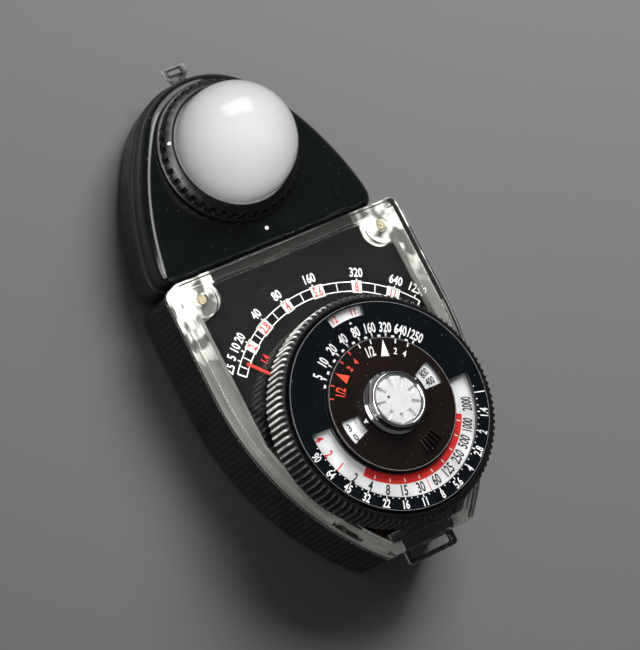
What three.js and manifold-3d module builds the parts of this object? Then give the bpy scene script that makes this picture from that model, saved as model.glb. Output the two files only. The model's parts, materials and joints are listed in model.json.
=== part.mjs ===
// A handheld light meter with a swivelling head, an opal diffuser dome and an exposure dial.
//
// Frame, in millimetres: the origin is on the flat back, on the axis of the dial and the pointer.
// +Z comes out of the front, +Y runs towards the head and +X to the right. The meter lies on its back.
// Touching pieces keep a gap of 0.3 mm.

import * as THREE from 'three';
import { mergeVertices } from 'three/addons/utils/BufferGeometryUtils.js';
import Module from 'manifold-3d';

const wasm = await Module();
wasm.setup();

// ---------------------------------------------------------------- driving dimensions

const GAP = 0.3;

// Body outline: straight flanks, then long arcs that close in on a short flat bottom.
const BODY_HALF_WIDTH = 29;
const BODY_TOP_Y = 41.5;
const BODY_BOTTOM_Y = -27.8;
const FLANK_START_Y = 17;
const FLANK_RADIUS = 62;
const BODY_CORNER = 2.2;

// Lower case and clear cover.
const CASE_TOP_Z = 15.2;
const CASE_INSET = 0.3;
const CASE_WALL = 1.8;
const CASE_FLOOR = 2;
const COVER_BOTTOM_Z = CASE_TOP_Z + GAP;
const COVER_TOP_Z = 20.5;
const COVER_WALL = 2.6;
const COVER_CAVITY_HALF_WIDTH = 24.9;
const COVER_PLATE = 1.6;
const COVER_UNDERSIDE_Z = COVER_TOP_Z - COVER_PLATE;

// Case screws: two below the head's corners and two beside the bottom.
const CASE_SCREWS = [[-23, 36.6], [23, 36.6], [13.2, -16.7], [-13.2, -16.7]];
const BOSS_RADIUS = 3.2;
const TOP_BOSS_RADIUS = 4;
const SCREW_RADIUS = 1.1;
const SCREW_HOLE_RADIUS = 1.4;
const SCREW_HEAD_RADIUS = 2.1;
const SCREW_RECESS = 1.7;

// Scale plate and pointer.
const PLATE_HALF_WIDTH = 24.4;
const PLATE_TOP_Y = 38.6;
const PLATE_BOTTOM_Y = 9;
const PLATE_Z = [16.6, 17.4];
const PLATE_HOLE_RADIUS = 17;
const POINTER_REST_DEG = 134;
const POINTER_LENGTH = 28.9;
const POINTER_LOW_Z = [12.4, 12.8];
const POINTER_HIGH_Z = [17.9, 18.3];
const POINTER_CRANK_RADIUS = 15.5;

// Exposure dial, from the hub outwards.
const HUB_RADIUS = 4.9;
const HUB_TOP_Z = 30.2;
const PLUNGER_RADIUS = 2;
const BUTTON_BORE_RADIUS = 3.6;
const BUTTON_STROKE = 1.2;
const SPRING_SEAT_Z = 24;
const DISC_HOLE_RADIUS = 6.5;
const EXPOSURE_DISC_RADIUS = 22.4;
const EXPOSURE_DISC_Z = [27.8, 28.7];
const SHUTTER_DISC_RADIUS = 21.9;
const SHUTTER_DISC_Z = [26.6, 27.5];
const FILM_DISC_RADIUS = 14.3;
const FILM_DISC_Z = [29.0, 29.6];
const POST_CIRCLE_RADIUS = 10;
const POST_RADIUS = 0.9;
const POST_ANGLES = [60, 90, 120];
const DIAL_TURN_DEG = [-80, 100];
const KNURL_RADIUS = 24.5;
const KNURL_TEETH = 64;
const KNURL_DEPTH = 0.55;
const KNURL_INNER_RADIUS = 22.8;
const KNURL_Z = [20.9, 28.2];
const COLLAR_Z = [29.9, 33];
const COLLAR_RADIUS = 6;
const CAP_RADIUS = 4.8;
const CAP_Z = [31.6, 32.6];

// Movement under the scale plate.
const COIL_HALF_WIDTH = 8.8;
const COIL_WIRE = 1;
const COIL_DEPTH = 3;
const COIL_Z = [5, 11.6];
const YOKE_RADII = [9.8, 11.6];
const CORE_RADIUS = 6.4;
const MOVEMENT_POST_X = 14.5;
const BRIDGE_Z = [13.2, 14.2];
const BRAKE_PIVOT = { y: -9, z: 17 };
const ZERO_SCREW_Y = -13;
const ZERO_PIN_OFFSET = 1;

// Head: its outline is concentric with the diffuser at the top.
const HEAD_CENTRE_Y = 64.4;
const HEAD_BASE_Y = 42.1;
const HEAD_TOP_RADIUS = 18.4;
const HEAD_FLANK_RADIUS = 65;
const HEAD_FLANK_ANGLE = 37;
const HEAD_CORNER_Y = 47;
const HEAD_REAR_STEP = 0.7;
const HEAD_Z = [1, 15.7];
const HEAD_PARTING_Z = 10.2;
const HEAD_WALL = 1.6;
const SWIVEL_Z = 8.5;
const SWIVEL_RADIUS = 4;
const HEAD_SCREW = { x: 20.5, y: 49 };
const SLIDE_Z = [10, 10.6];
const SLIDE_HALF_WIDTH = 13;
const CELL_RADIUS = 13.2;

// Diffuser and its bayonet.
const DOME_RADIUS = 12.95;
const DOME_CENTRE_Z = 21.05;
const DOME_WALL = 1.2;
const RING_RADIUS = 16.1;
const RING_Z = [16, 19.4];
const SEAT_RADII = [11.8, 12.6];

// Strap bail at the bottom.
const BAIL_Z = [15.6, 16.6];
const BAIL_HALF_WIDTH = 6.3;
const BAIL_OUTER_Y = -30.9;
const BAIL_SLOT = { halfWidth: 5.25, top: -27.95, bottom: -30.2 };

// Sides of an ordinary round piece, and steps in an arc of an outline.
const ROUND = 24;
const ARC_STEPS = 6;

// ---------------------------------------------------------------- geometry helpers

const degrees = THREE.MathUtils.degToRad;

// Joins coincident vertices, drops collapsed triangles and turns the faces outwards.
function closed(geometry) {
  const bare = geometry.clone();
  bare.deleteAttribute('normal');
  bare.deleteAttribute('uv');
  const merged = mergeVertices(bare, 1e-4);
  const source = merged.index.array;
  const triangles = [];
  for (let i = 0; i < source.length; i += 3) {
    const [a, b, c] = [source[i], source[i + 1], source[i + 2]];
    if (a !== b && b !== c && c !== a) triangles.push(a, b, c);
  }
  merged.setIndex(triangles);
  if (signedVolume(merged) < 0) {
    for (let i = 0; i < triangles.length; i += 3) {
      [triangles[i + 1], triangles[i + 2]] = [triangles[i + 2], triangles[i + 1]];
    }
    merged.setIndex(triangles);
  }
  return merged;
}

function signedVolume(geometry) {
  const position = geometry.getAttribute('position');
  const index = geometry.index.array;
  const [a, b, c] = [new THREE.Vector3(), new THREE.Vector3(), new THREE.Vector3()];
  let volume = 0;
  for (let i = 0; i < index.length; i += 3) {
    a.fromBufferAttribute(position, index[i]);
    b.fromBufferAttribute(position, index[i + 1]);
    c.fromBufferAttribute(position, index[i + 2]);
    volume += a.dot(b.cross(c)) / 6;
  }
  return volume;
}

function toManifold(geometry) {
  const source = closed(geometry);
  return new wasm.Manifold(new wasm.Mesh({
    numProp: 3,
    vertProperties: new Float32Array(source.getAttribute('position').array),
    triVerts: new Uint32Array(source.index.array),
  }));
}

function toGeometry(manifold) {
  const mesh = manifold.getMesh();
  const geometry = new THREE.BufferGeometry();
  geometry.setAttribute('position', new THREE.BufferAttribute(mesh.vertProperties, 3));
  geometry.setIndex(new THREE.BufferAttribute(mesh.triVerts, 1));
  return geometry;
}

function join(first, ...others) {
  return toGeometry(others.reduce((sum, other) => sum.add(toManifold(other)), toManifold(first)));
}

function cut(first, ...others) {
  return toGeometry(others.reduce((rest, other) => rest.subtract(toManifold(other)), toManifold(first)));
}

// A box from its lowest to its highest corner.
function box(low, high) {
  const size = low.map((value, axis) => high[axis] - value);
  const centre = low.map((value, axis) => (high[axis] + value) / 2);
  return closed(new THREE.BoxGeometry(...size).translate(...centre));
}

// A disc or rod along Z.
function rod(radius, [bottom, top], x = 0, y = 0, segments = ROUND) {
  const geometry = new THREE.CylinderGeometry(radius, radius, top - bottom, segments);
  return closed(geometry.rotateX(Math.PI / 2).translate(x, y, (bottom + top) / 2));
}

// A rod along Y, centred on the given x and z.
function rodAlongY(radius, [near, far], x, z, segments = ROUND) {
  const geometry = new THREE.CylinderGeometry(radius, radius, far - near, segments);
  return closed(geometry.translate(x, (near + far) / 2, z));
}

// A rod along X, centred on the given y and z.
function rodAlongX(radius, [near, far], y, z, segments = 16) {
  const geometry = new THREE.CylinderGeometry(radius, radius, far - near, segments);
  return closed(geometry.rotateZ(Math.PI / 2).translate((near + far) / 2, y, z));
}

// Turns a profile of [radius, height] points about Z. A profile that leaves the axis is closed on itself.
function turned(profile, segments = ROUND) {
  const points = profile.map(([radius, height]) => new THREE.Vector2(radius, height));
  const startsAndEndsOnAxis = profile[0][0] === 0 && profile.at(-1)[0] === 0;
  if (!startsAndEndsOnAxis) points.push(points[0].clone());
  return closed(new THREE.LatheGeometry(points, segments).rotateX(Math.PI / 2));
}

function ring([inner, outer], [bottom, top], segments = ROUND) {
  return turned([[inner, bottom], [outer, bottom], [outer, top], [inner, top]], segments);
}

function slab(shape, [bottom, top], curveSegments = ARC_STEPS) {
  const options = { depth: top - bottom, bevelEnabled: false, curveSegments };
  return closed(new THREE.ExtrudeGeometry(shape, options).translate(0, 0, bottom));
}

// The points of an outline, without repeats.
function outlinePoints(shape, curveSegments) {
  const points = shape.getPoints(curveSegments);
  return points.filter((point, i) => point.distanceTo(points.at(i - 1)) > 1e-5);
}

// A solid stacked from one outline at several levels of [inset, height], from the bottom up.
function stacked(outline, levels, curveSegments = ARC_STEPS) {
  const loops = levels.map(([inset]) => outlinePoints(outline(inset), curveSegments));
  const count = loops[0].length;
  const positions = loops.flatMap((loop, level) => loop.flatMap(({ x, y }) => [x, y, levels[level][1]]));
  const triangles = [];
  for (let level = 0; level + 1 < loops.length; level += 1) {
    for (let i = 0; i < count; i += 1) {
      const [a, b] = [level * count + i, level * count + ((i + 1) % count)];
      triangles.push(a, b, b + count, a, b + count, a + count);
    }
  }
  const lastLevel = (loops.length - 1) * count;
  THREE.ShapeUtils.triangulateShape(loops[0], []).forEach(([a, b, c]) => triangles.push(a, c, b));
  THREE.ShapeUtils.triangulateShape(loops.at(-1), []).forEach(([a, b, c]) => {
    triangles.push(lastLevel + a, lastLevel + b, lastLevel + c);
  });
  const geometry = new THREE.BufferGeometry();
  geometry.setAttribute('position', new THREE.Float32BufferAttribute(positions, 3));
  geometry.setIndex(triangles);
  return closed(geometry);
}

// Levels that round an outline's edge over with a quarter circle, from the flank to the face.
function roundOver(inset, faceZ, flankZ) {
  const reach = flankZ - faceZ;
  return [0, 45, 90].map((angle) => {
    const turn = degrees(angle);
    return [inset + Math.abs(reach) * (1 - Math.cos(turn)), flankZ - reach * Math.sin(turn)];
  });
}

// A flat sector of a ring, from one angle to another in degrees.
function sector([inner, outer], [from, to], [bottom, top], curveSegments = 16) {
  const shape = new THREE.Shape();
  shape.absarc(0, 0, outer, degrees(from), degrees(to), false);
  shape.absarc(0, 0, inner, degrees(to), degrees(from), true);
  return slab(shape, [bottom, top], curveSegments);
}

// A round wire through the given points.
function wire(points, radius, steps) {
  const path = new THREE.CatmullRomCurve3(points.map((point) => new THREE.Vector3(...point)));
  return wireAlong(path, radius, steps);
}

function wireAlong(path, radius, steps, sides = 5) {
  const section = new THREE.Shape();
  for (let side = 0; side < sides; side += 1) {
    const angle = (side / sides) * 2 * Math.PI;
    const [x, y] = [radius * Math.cos(angle), radius * Math.sin(angle)];
    if (side === 0) section.moveTo(x, y);
    else section.lineTo(x, y);
  }
  return closed(new THREE.ExtrudeGeometry(section, { steps, extrudePath: path, bevelEnabled: false }));
}

function part(name, geometry, { color, roughness, metalness }) {
  const surface = geometry.index ? geometry.toNonIndexed() : geometry;
  surface.computeVertexNormals();
  const mesh = new THREE.Mesh(surface, new THREE.MeshStandardMaterial({ color, roughness, metalness }));
  mesh.name = name;
  return mesh;
}

// ---------------------------------------------------------------- finishes

const MATT_BLACK = { color: 0x1b1b1c, roughness: 0.62, metalness: 0 };
const GLOSS_BLACK = { color: 0x0b0b0c, roughness: 0.18, metalness: 0 };
const CLEAR = { color: 0xdfe4e2, roughness: 0.05, metalness: 0 };
const OPAL = { color: 0xf1f1ef, roughness: 0.2, metalness: 0 };
const CHROME = { color: 0xcfd0d2, roughness: 0.12, metalness: 1 };
const STEEL = { color: 0x9a9c9e, roughness: 0.35, metalness: 1 };
const BRASS = { color: 0xb8975a, roughness: 0.35, metalness: 1 };
const SCALE_BLACK = { color: 0x17161a, roughness: 0.45, metalness: 0 };
const DISC_WHITE = { color: 0xd9dadb, roughness: 0.4, metalness: 0 };
const DISC_BROWN = { color: 0x1d1413, roughness: 0.2, metalness: 0 };
const SIGNAL_RED = { color: 0xd2251c, roughness: 0.45, metalness: 0 };
const MAGNET_GREY = { color: 0x5b5d60, roughness: 0.5, metalness: 0.8 };
const COPPER = { color: 0xa8613a, roughness: 0.4, metalness: 1 };
const BOARD_BROWN = { color: 0x6b4526, roughness: 0.7, metalness: 0 };
const CELL_VIOLET = { color: 0x34303f, roughness: 0.3, metalness: 0.2 };
const JEWEL_RED = { color: 0x8a1f33, roughness: 0.15, metalness: 0 };

// ---------------------------------------------------------------- body shells

// The outline of the body, moved inwards by inset.
function bodyOutline(inset) {
  const half = BODY_HALF_WIDTH - inset;
  const radius = FLANK_RADIUS - inset;
  const centreX = BODY_HALF_WIDTH - FLANK_RADIUS;
  const top = BODY_TOP_Y - inset;
  const bottom = BODY_BOTTOM_Y + inset;
  const sweep = Math.asin((FLANK_START_Y - bottom) / radius);
  const corner = Math.max(BODY_CORNER - inset, 0.4);
  const shape = new THREE.Shape();
  shape.absarc(centreX, FLANK_START_Y, radius, -sweep, 0, false);
  shape.absarc(half - corner, top - corner, corner, 0, Math.PI / 2, false);
  shape.absarc(corner - half, top - corner, corner, Math.PI / 2, Math.PI, false);
  shape.absarc(-centreX, FLANK_START_Y, radius, Math.PI, Math.PI + sweep, false);
  return shape;
}

function makeLowerCase() {
  const backEdge = 1.8;
  const draft = 0.3;
  const levels = [...roundOver(CASE_INSET + draft, 0, backEdge).reverse(), [CASE_INSET, CASE_TOP_Z]];
  const cavity = slab(bodyOutline(CASE_INSET + CASE_WALL), [CASE_FLOOR, CASE_TOP_Z + 5]);
  const tray = cut(stacked(bodyOutline, levels), cavity);
  const posts = CASE_SCREWS.map(([x, y]) => rod(BOSS_RADIUS, [1, CASE_TOP_Z], x, y, 14));
  const platePillars = [-21, 21].map((x) => rod(1.8, [1, PLATE_Z[0] - GAP], x, 12, 8));
  const screwHoles = CASE_SCREWS.map(([x, y]) => rod(SCREW_HOLE_RADIUS, [-1, CASE_TOP_Z + 1], x, y, 10));
  const recesses = CASE_SCREWS.map(([x, y]) => rod(SCREW_HEAD_RADIUS + 0.4, [-1, SCREW_RECESS], x, y, 14));
  const swivelHole = rodAlongY(SWIVEL_RADIUS + 0.4, [38, 43], 0, SWIVEL_Z, 20);
  const zeroHole = rod(2.6, [-1, CASE_FLOOR + 1], 0, ZERO_SCREW_Y, 14);
  const withPosts = join(tray, ...posts, ...platePillars);
  return cut(withPosts, ...screwHoles, ...recesses, swivelHole, zeroHole);
}

function makeClearCover() {
  const edge = 0.7;
  const levels = [[0, COVER_BOTTOM_Z], ...roundOver(0, COVER_TOP_Z, COVER_TOP_Z - edge)];
  const inside = slab(bodyOutline(COVER_WALL), [COVER_BOTTOM_Z - 3, COVER_UNDERSIDE_Z]);
  const thickFlanks = [-1, 1].map((side) => {
    const xs = [side * COVER_CAVITY_HALF_WIDTH, side * 40].sort((a, b) => a - b);
    return box([xs[0], -40, 0], [xs[1], 60, 30]);
  });
  const shell = cut(stacked(bodyOutline, levels), cut(inside, ...thickFlanks));
  const bosses = CASE_SCREWS.map(([x, y]) => {
    const radius = y > 0 ? TOP_BOSS_RADIUS : BOSS_RADIUS;
    return rod(radius, [COVER_BOTTOM_Z, COVER_UNDERSIDE_Z + 0.2], x, y, 16);
  });
  const screwHoles = CASE_SCREWS.map(([x, y]) => rod(SCREW_HOLE_RADIUS, [COVER_BOTTOM_Z - 1, 19.1], x, y, 10));
  const hubHole = rod(HUB_RADIUS + 0.4, [10, 30], 0, 0, 24);
  const notchHalf = BAIL_HALF_WIDTH + GAP;
  const bailNotch = box([-notchHalf, -29, 14], [notchHalf, -24, BAIL_Z[1] + GAP]);
  return cut(join(shell, ...bosses), ...screwHoles, hubHole, bailNotch);
}

function makeScalePlate() {
  const shape = new THREE.Shape();
  const low = PLATE_BOTTOM_Y;
  shape.moveTo(-PLATE_HALF_WIDTH, low + 4);
  shape.lineTo(-PLATE_HALF_WIDTH + 4, low);
  shape.lineTo(PLATE_HALF_WIDTH - 4, low);
  shape.lineTo(PLATE_HALF_WIDTH, low + 4);
  shape.lineTo(PLATE_HALF_WIDTH, PLATE_TOP_Y);
  shape.lineTo(-PLATE_HALF_WIDTH, PLATE_TOP_Y);
  const plate = slab(shape, PLATE_Z);
  const middle = rod(PLATE_HOLE_RADIUS, [0, 30], 0, 0, 36);
  const corners = CASE_SCREWS.slice(0, 2).map(([x, y]) => rod(TOP_BOSS_RADIUS + 0.4, [0, 30], x, y, 16));
  return cut(plate, middle, ...corners);
}

function makeStrapBail() {
  const wide = BAIL_HALF_WIDTH + 1.6;
  const shoulderY = -24.8;
  const shape = new THREE.Shape();
  shape.moveTo(-BAIL_HALF_WIDTH, shoulderY);
  shape.lineTo(-BAIL_HALF_WIDTH, BAIL_OUTER_Y + 1);
  shape.lineTo(-BAIL_HALF_WIDTH + 0.6, BAIL_OUTER_Y);
  shape.lineTo(BAIL_HALF_WIDTH - 0.6, BAIL_OUTER_Y);
  shape.lineTo(BAIL_HALF_WIDTH, BAIL_OUTER_Y + 1);
  shape.lineTo(BAIL_HALF_WIDTH, shoulderY);
  shape.lineTo(wide, shoulderY);
  shape.lineTo(wide, shoulderY + 1.6);
  shape.lineTo(-wide, shoulderY + 1.6);
  shape.lineTo(-wide, shoulderY);
  const slot = box(
    [-BAIL_SLOT.halfWidth, BAIL_SLOT.bottom, 10],
    [BAIL_SLOT.halfWidth, BAIL_SLOT.top, 20],
  );
  return cut(slab(shape, BAIL_Z), slot);
}

// A case screw: a slotted head in its recess and a shank that ends inside the cover's boss.
function makeCaseScrew() {
  const head = [0.3, SCREW_RECESS - GAP];
  const shank = rod(SCREW_RADIUS, [head[1] - 0.1, 18.8], 0, 0, 8);
  const slot = box([-SCREW_HEAD_RADIUS, -0.3, 0], [SCREW_HEAD_RADIUS, 0.3, head[0] + 0.5]);
  return cut(join(rod(SCREW_HEAD_RADIUS, head, 0, 0, 14), shank), slot);
}

// ---------------------------------------------------------------- movement

function makeMovementBase() {
  const plate = box([-16.8, -4.5, CASE_FLOOR + GAP], [16.8, 4.5, 3.3]);
  const sides = [-1, 1];
  const posts = sides.map((side) => rod(2.2, [3, BRIDGE_Z[0] - GAP], side * MOVEMENT_POST_X, 0, 12));
  const yokeRests = sides.map((side) => {
    const xs = [side * 9.6, side * 12.6].sort((a, b) => a - b);
    return box([xs[0], -2.5, 3], [xs[1], 2.5, 5.1]);
  });
  const threads = sides.map((side) => rod(1.1, [8.4, 20], side * MOVEMENT_POST_X, 0, 8));
  const jewelHole = rod(1.5, [0, 8], 0, 0, 12);
  return cut(join(plate, ...posts, ...yokeRests), ...threads, jewelHole);
}

function makeMovementBridge() {
  const bar = box([-17, -3, BRIDGE_Z[0]], [17, 3, BRIDGE_Z[1]]);
  const arm = box([-4.5, -10.3, BRIDGE_Z[0]], [4.5, -2, BRIDGE_Z[1]]);
  const ears = [-4.5, 3.6].map((x) => box([x, -10.3, BRIDGE_Z[0]], [x + 0.9, -7.7, 18.2]));
  const armWindow = box([-2.6, -8.6, 10], [2.6, -3.4, 20]);
  const holes = [-1, 1].map((side) => rod(1.1, [10, 20], side * MOVEMENT_POST_X, 0, 8));
  const jewelHole = rod(1.5, [10, 20], 0, 0, 12);
  const pinHole = rodAlongX(0.85, [-10, 10], BRAKE_PIVOT.y, BRAKE_PIVOT.z, 10);
  return cut(join(bar, arm, ...ears), armWindow, ...holes, jewelHole, pinHole);
}

function makeBridgeScrew() {
  const head = rod(1.8, [BRIDGE_Z[1] + GAP, BRIDGE_Z[1] + 1.1], 0, 0, 12);
  return join(head, rod(0.8, [9, BRIDGE_Z[1] + 0.5], 0, 0, 8));
}

// The magnet is a core inside the coil, held by a bar across the gap that the coil never enters.
function makeCoreMagnet() {
  const reach = YOKE_RADII[0] - 2 * GAP;
  return join(rod(CORE_RADIUS, [6.3, 10.3], 0, 0, 20), box([-1.2, -reach, 7.4], [1.2, reach, 9.2]));
}

// The coil is a rectangular loop round the core with a pivot at each end.
function makeMovingCoil() {
  const half = COIL_HALF_WIDTH;
  const deep = COIL_DEPTH / 2;
  const outside = box([-half, -deep, COIL_Z[0]], [half, deep, COIL_Z[1]]);
  const inside = box(
    [COIL_WIRE - half, -5, COIL_Z[0] + COIL_WIRE],
    [half - COIL_WIRE, 5, COIL_Z[1] - COIL_WIRE],
  );
  const lowerPivot = rod(0.35, [4.3, COIL_Z[0] + 0.2], 0, 0, 10);
  const upperPivot = rod(0.45, [COIL_Z[1] - 0.2, 12.95], 0, 0, 10);
  return join(cut(outside, inside), lowerPivot, upperPivot);
}

// The pointer leaves its boss under the bridge, rises through the plate's hole and crosses the scale.
function makePointer() {
  const crankHalf = 0.3;
  const boss = ring([0.8, 2], POINTER_LOW_Z, 16);
  const arm = box([1.2, -0.35, POINTER_LOW_Z[0]], [POINTER_CRANK_RADIUS + crankHalf, 0.35, POINTER_LOW_Z[1]]);
  const crank = box(
    [POINTER_CRANK_RADIUS - crankHalf, -0.35, POINTER_LOW_Z[0]],
    [POINTER_CRANK_RADIUS + crankHalf, 0.35, POINTER_HIGH_Z[1]],
  );
  const needle = box([POINTER_CRANK_RADIUS, -0.28, POINTER_HIGH_Z[0]], [POINTER_LENGTH, 0.28, POINTER_HIGH_Z[1]]);
  const tail = box([-14.6, -0.35, POINTER_LOW_Z[0]], [-1.2, 0.35, POINTER_LOW_Z[1]]);
  const weight = rod(1.1, POINTER_LOW_Z, -8, 0, 12);
  return join(boss, arm, crank, needle, tail, weight);
}

// A flat spiral of thin strip.
function makeHairspring([bottom, top]) {
  const turns = 2.25;
  const [innerRadius, outerRadius] = [1.1, 3.4];
  const thickness = 0.16;
  const steps = 30;
  const edge = (offset) => Array.from({ length: steps + 1 }, (_, step) => {
    const along = step / steps;
    const radius = innerRadius + (outerRadius - innerRadius) * along + offset;
    const angle = along * turns * 2 * Math.PI;
    return new THREE.Vector2(radius * Math.cos(angle), radius * Math.sin(angle));
  });
  return slab(new THREE.Shape([...edge(thickness), ...edge(0).reverse()]), [bottom, top]);
}

function makeJewelScrew(z) {
  return rod(1.2, z, 0, 0, 10);
}

// The zero lever hugs the lower pivot and takes the screw's pin between two prongs.
function makeZeroLever() {
  const z = [3.6, 4.1];
  const pinY = ZERO_SCREW_Y + ZERO_PIN_OFFSET;
  const arm = box([-1, pinY + 1.6, z[0]], [1, -2, z[1]]);
  const fork = box([-2, pinY - 1.8, z[0]], [2, pinY + 2.2, z[1]]);
  const slot = box([-0.95, pinY - 4, 0], [0.95, pinY + 1.2, 8]);
  return cut(join(ring([1.7, 3.2], z, 14), arm, fork), slot);
}

function makeZeroScrew() {
  const head = rod(2.2, [0.4, CASE_FLOOR + 0.8], 0, 0, 14);
  const pin = rod(0.6, [CASE_FLOOR + 0.6, 4.3], 0, ZERO_PIN_OFFSET, 8);
  const slot = box([-3, -0.35, 0], [3, 0.35, 1]);
  return cut(join(head, pin), slot);
}

// The brake lever rocks on its pivot: the button lowers one end and lifts the curved shoe off the pointer.
function makeBrakeLever() {
  const z = [16.2, 16.8];
  const tongue = box([-1.4, -13.2, z[0]], [1.4, 2.3, z[1]]);
  const barrel = rodAlongX(1.15, [-3.3, 3.3], BRAKE_PIVOT.y, BRAKE_PIVOT.z, 12);
  const shoe = sector([13, 14.8], [219, 317], [13.2, z[1]], 9);
  const shoeWindow = sector([12, 13.9], [200, 335], [10, z[0]], 10);
  const bore = rodAlongX(0.85, [-10, 10], BRAKE_PIVOT.y, BRAKE_PIVOT.z, 10);
  return cut(join(tongue, barrel, shoe), shoeWindow, bore);
}

function makeTerminalBoard() {
  return box([-8, -23.4, CASE_FLOOR + GAP], [8, -18.4, CASE_FLOOR + 1.3]);
}

function makeResistor() {
  const body = rodAlongX(1.4, [-3.5, 3.5], -20.9, 5.1, 10);
  return join(body, rodAlongX(0.35, [-5.6, 5.6], -20.9, 5.1, 6));
}

// A lead runs along one flank of the case from the board to the swivel tube.
function makeLead(side) {
  const route = [
    [side * 7.2, -19.6, 4.3],
    [side * 10, -14, 3.4],
    [side * 15.5, -9.5, 3.2],
    [side * 18.7, -4.6, 3.2],
    [side * 18.4, 6, 3.2],
    [side * 18, 16, 3.2],
    [side * 15, 29, 5],
    [side * 5, 33.5, 7.6],
    [side * 1.2, 35.4, SWIVEL_Z],
  ];
  return wire(route, 0.5, 16);
}

// ---------------------------------------------------------------- dial and button

function makeDialHub() {
  const flangeRadius = 11.8;
  const boreRadius = PLUNGER_RADIUS + 0.3;
  return turned([
    [boreRadius, 17.4],
    [HUB_RADIUS, 17.4],
    [HUB_RADIUS, COVER_TOP_Z + GAP],
    [flangeRadius, COVER_TOP_Z + GAP],
    [flangeRadius, 21.9],
    [HUB_RADIUS, 21.9],
    [HUB_RADIUS, HUB_TOP_Z],
    [BUTTON_BORE_RADIUS, HUB_TOP_Z],
    [BUTTON_BORE_RADIUS, SPRING_SEAT_Z],
    [boreRadius, SPRING_SEAT_Z],
  ], 20);
}

function makeHubNut() {
  const hexagon = rod(7, [17.3, COVER_UNDERSIDE_Z - GAP], 0, 0, 6);
  return cut(hexagon, rod(HUB_RADIUS + 0.3, [10, 30], 0, 0, 20));
}

// The fixed disc: an annulus with the shutter window and the small exposure-value window, on three posts.
function makeExposureDisc() {
  const disc = ring([DISC_HOLE_RADIUS, EXPOSURE_DISC_RADIUS], EXPOSURE_DISC_Z, 40);
  const shutterWindow = sector([14.7, 19.4], [177, 363], [20, 40], 16);
  const valueWindow = sector([19.3, 21.5], [78.5, 101.5], [20, 40], 4);
  const posts = POST_ANGLES.map((angle) => {
    const x = POST_CIRCLE_RADIUS * Math.cos(degrees(angle));
    const y = POST_CIRCLE_RADIUS * Math.sin(degrees(angle));
    return rod(POST_RADIUS, [21.9 + GAP, EXPOSURE_DISC_Z[0] + 0.2], x, y, 8);
  });
  return join(cut(disc, shutterWindow, valueWindow), ...posts);
}

// The white disc turns with the knurled ring. Its curved slot lets the fixed posts through.
function makeShutterDisc() {
  const disc = ring([DISC_HOLE_RADIUS, SHUTTER_DISC_RADIUS], SHUTTER_DISC_Z, 36);
  const margin = 9;
  const from = POST_ANGLES[0] - DIAL_TURN_DEG[1] - margin;
  const to = POST_ANGLES.at(-1) - DIAL_TURN_DEG[0] + margin;
  const slotHalf = POST_RADIUS + GAP;
  const slotRadii = [POST_CIRCLE_RADIUS - slotHalf, POST_CIRCLE_RADIUS + slotHalf];
  return cut(disc, sector(slotRadii, [from, to], [20, 40], 18));
}

// The knurled ring: a toothed wall with a ledge inside that carries the white disc.
function makeKnurledDial() {
  const shape = new THREE.Shape();
  const toothProfile = [[0, 0], [0.5, 1]];
  for (let tooth = 0; tooth < KNURL_TEETH; tooth += 1) {
    toothProfile.forEach(([along, height], corner) => {
      const angle = ((tooth + along) / KNURL_TEETH) * 2 * Math.PI;
      const radius = KNURL_RADIUS - KNURL_DEPTH * (1 - height);
      const [x, y] = [radius * Math.cos(angle), radius * Math.sin(angle)];
      if (tooth === 0 && corner === 0) shape.moveTo(x, y);
      else shape.lineTo(x, y);
    });
  }
  const bore = new THREE.Path();
  bore.absarc(0, 0, KNURL_INNER_RADIUS, 0, 2 * Math.PI, true);
  shape.holes.push(bore);
  const wall = slab(shape, KNURL_Z, 40);
  return join(wall, ring([19.5, KNURL_INNER_RADIUS + 0.4], [25.3, SHUTTER_DISC_Z[0] - GAP], 40));
}

function makeFrictionWasher() {
  return ring([DISC_HOLE_RADIUS + 0.1, 8.6], [25.9, SHUTTER_DISC_Z[0] - GAP], 20);
}

// The film-speed disc: a thin disc with two windows and a ribbed grip, on a sleeve round the hub.
function makeFilmSpeedDisc() {
  const sleeveRadii = [HUB_RADIUS + 0.4, DISC_HOLE_RADIUS - 0.4];
  const profile = [
    [sleeveRadii[0], 26],
    [sleeveRadii[1], 26],
    [sleeveRadii[1], FILM_DISC_Z[0]],
    [FILM_DISC_RADIUS, FILM_DISC_Z[0]],
    [FILM_DISC_RADIUS, FILM_DISC_Z[1]],
    [sleeveRadii[0], FILM_DISC_Z[1]],
  ];
  const windows = [[-1, 24], [176, 200]].map((span) => sector([8.4, 12.6], span, [28, 40], 5));
  const grip = Array.from({ length: 5 }, (_, ridge) => {
    const bar = box([9.2, -0.22, FILM_DISC_Z[0] + 0.2], [12.4, 0.22, FILM_DISC_Z[1] + 0.7]);
    return bar.rotateZ(degrees(-80 + ridge * 5.2));
  });
  return join(cut(turned(profile, 32), ...windows), ...grip);
}

function makeSleeveClip() {
  return ring([DISC_HOLE_RADIUS - 0.1, 8], [24.9, 25.6], 18);
}

// The chrome collar is fixed on the hub and guides the button's cap.
function makeCentreCollar() {
  const inner = HUB_RADIUS + 0.3;
  return turned([
    [inner, COLLAR_Z[0]],
    [COLLAR_RADIUS + 0.7, COLLAR_Z[0]],
    [COLLAR_RADIUS + 0.7, COLLAR_Z[0] + 0.4],
    [COLLAR_RADIUS, COLLAR_Z[0] + 1],
    [COLLAR_RADIUS, COLLAR_Z[1] - 0.3],
    [COLLAR_RADIUS - 0.3, COLLAR_Z[1]],
    [inner, COLLAR_Z[1]],
  ], 24);
}

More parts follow.
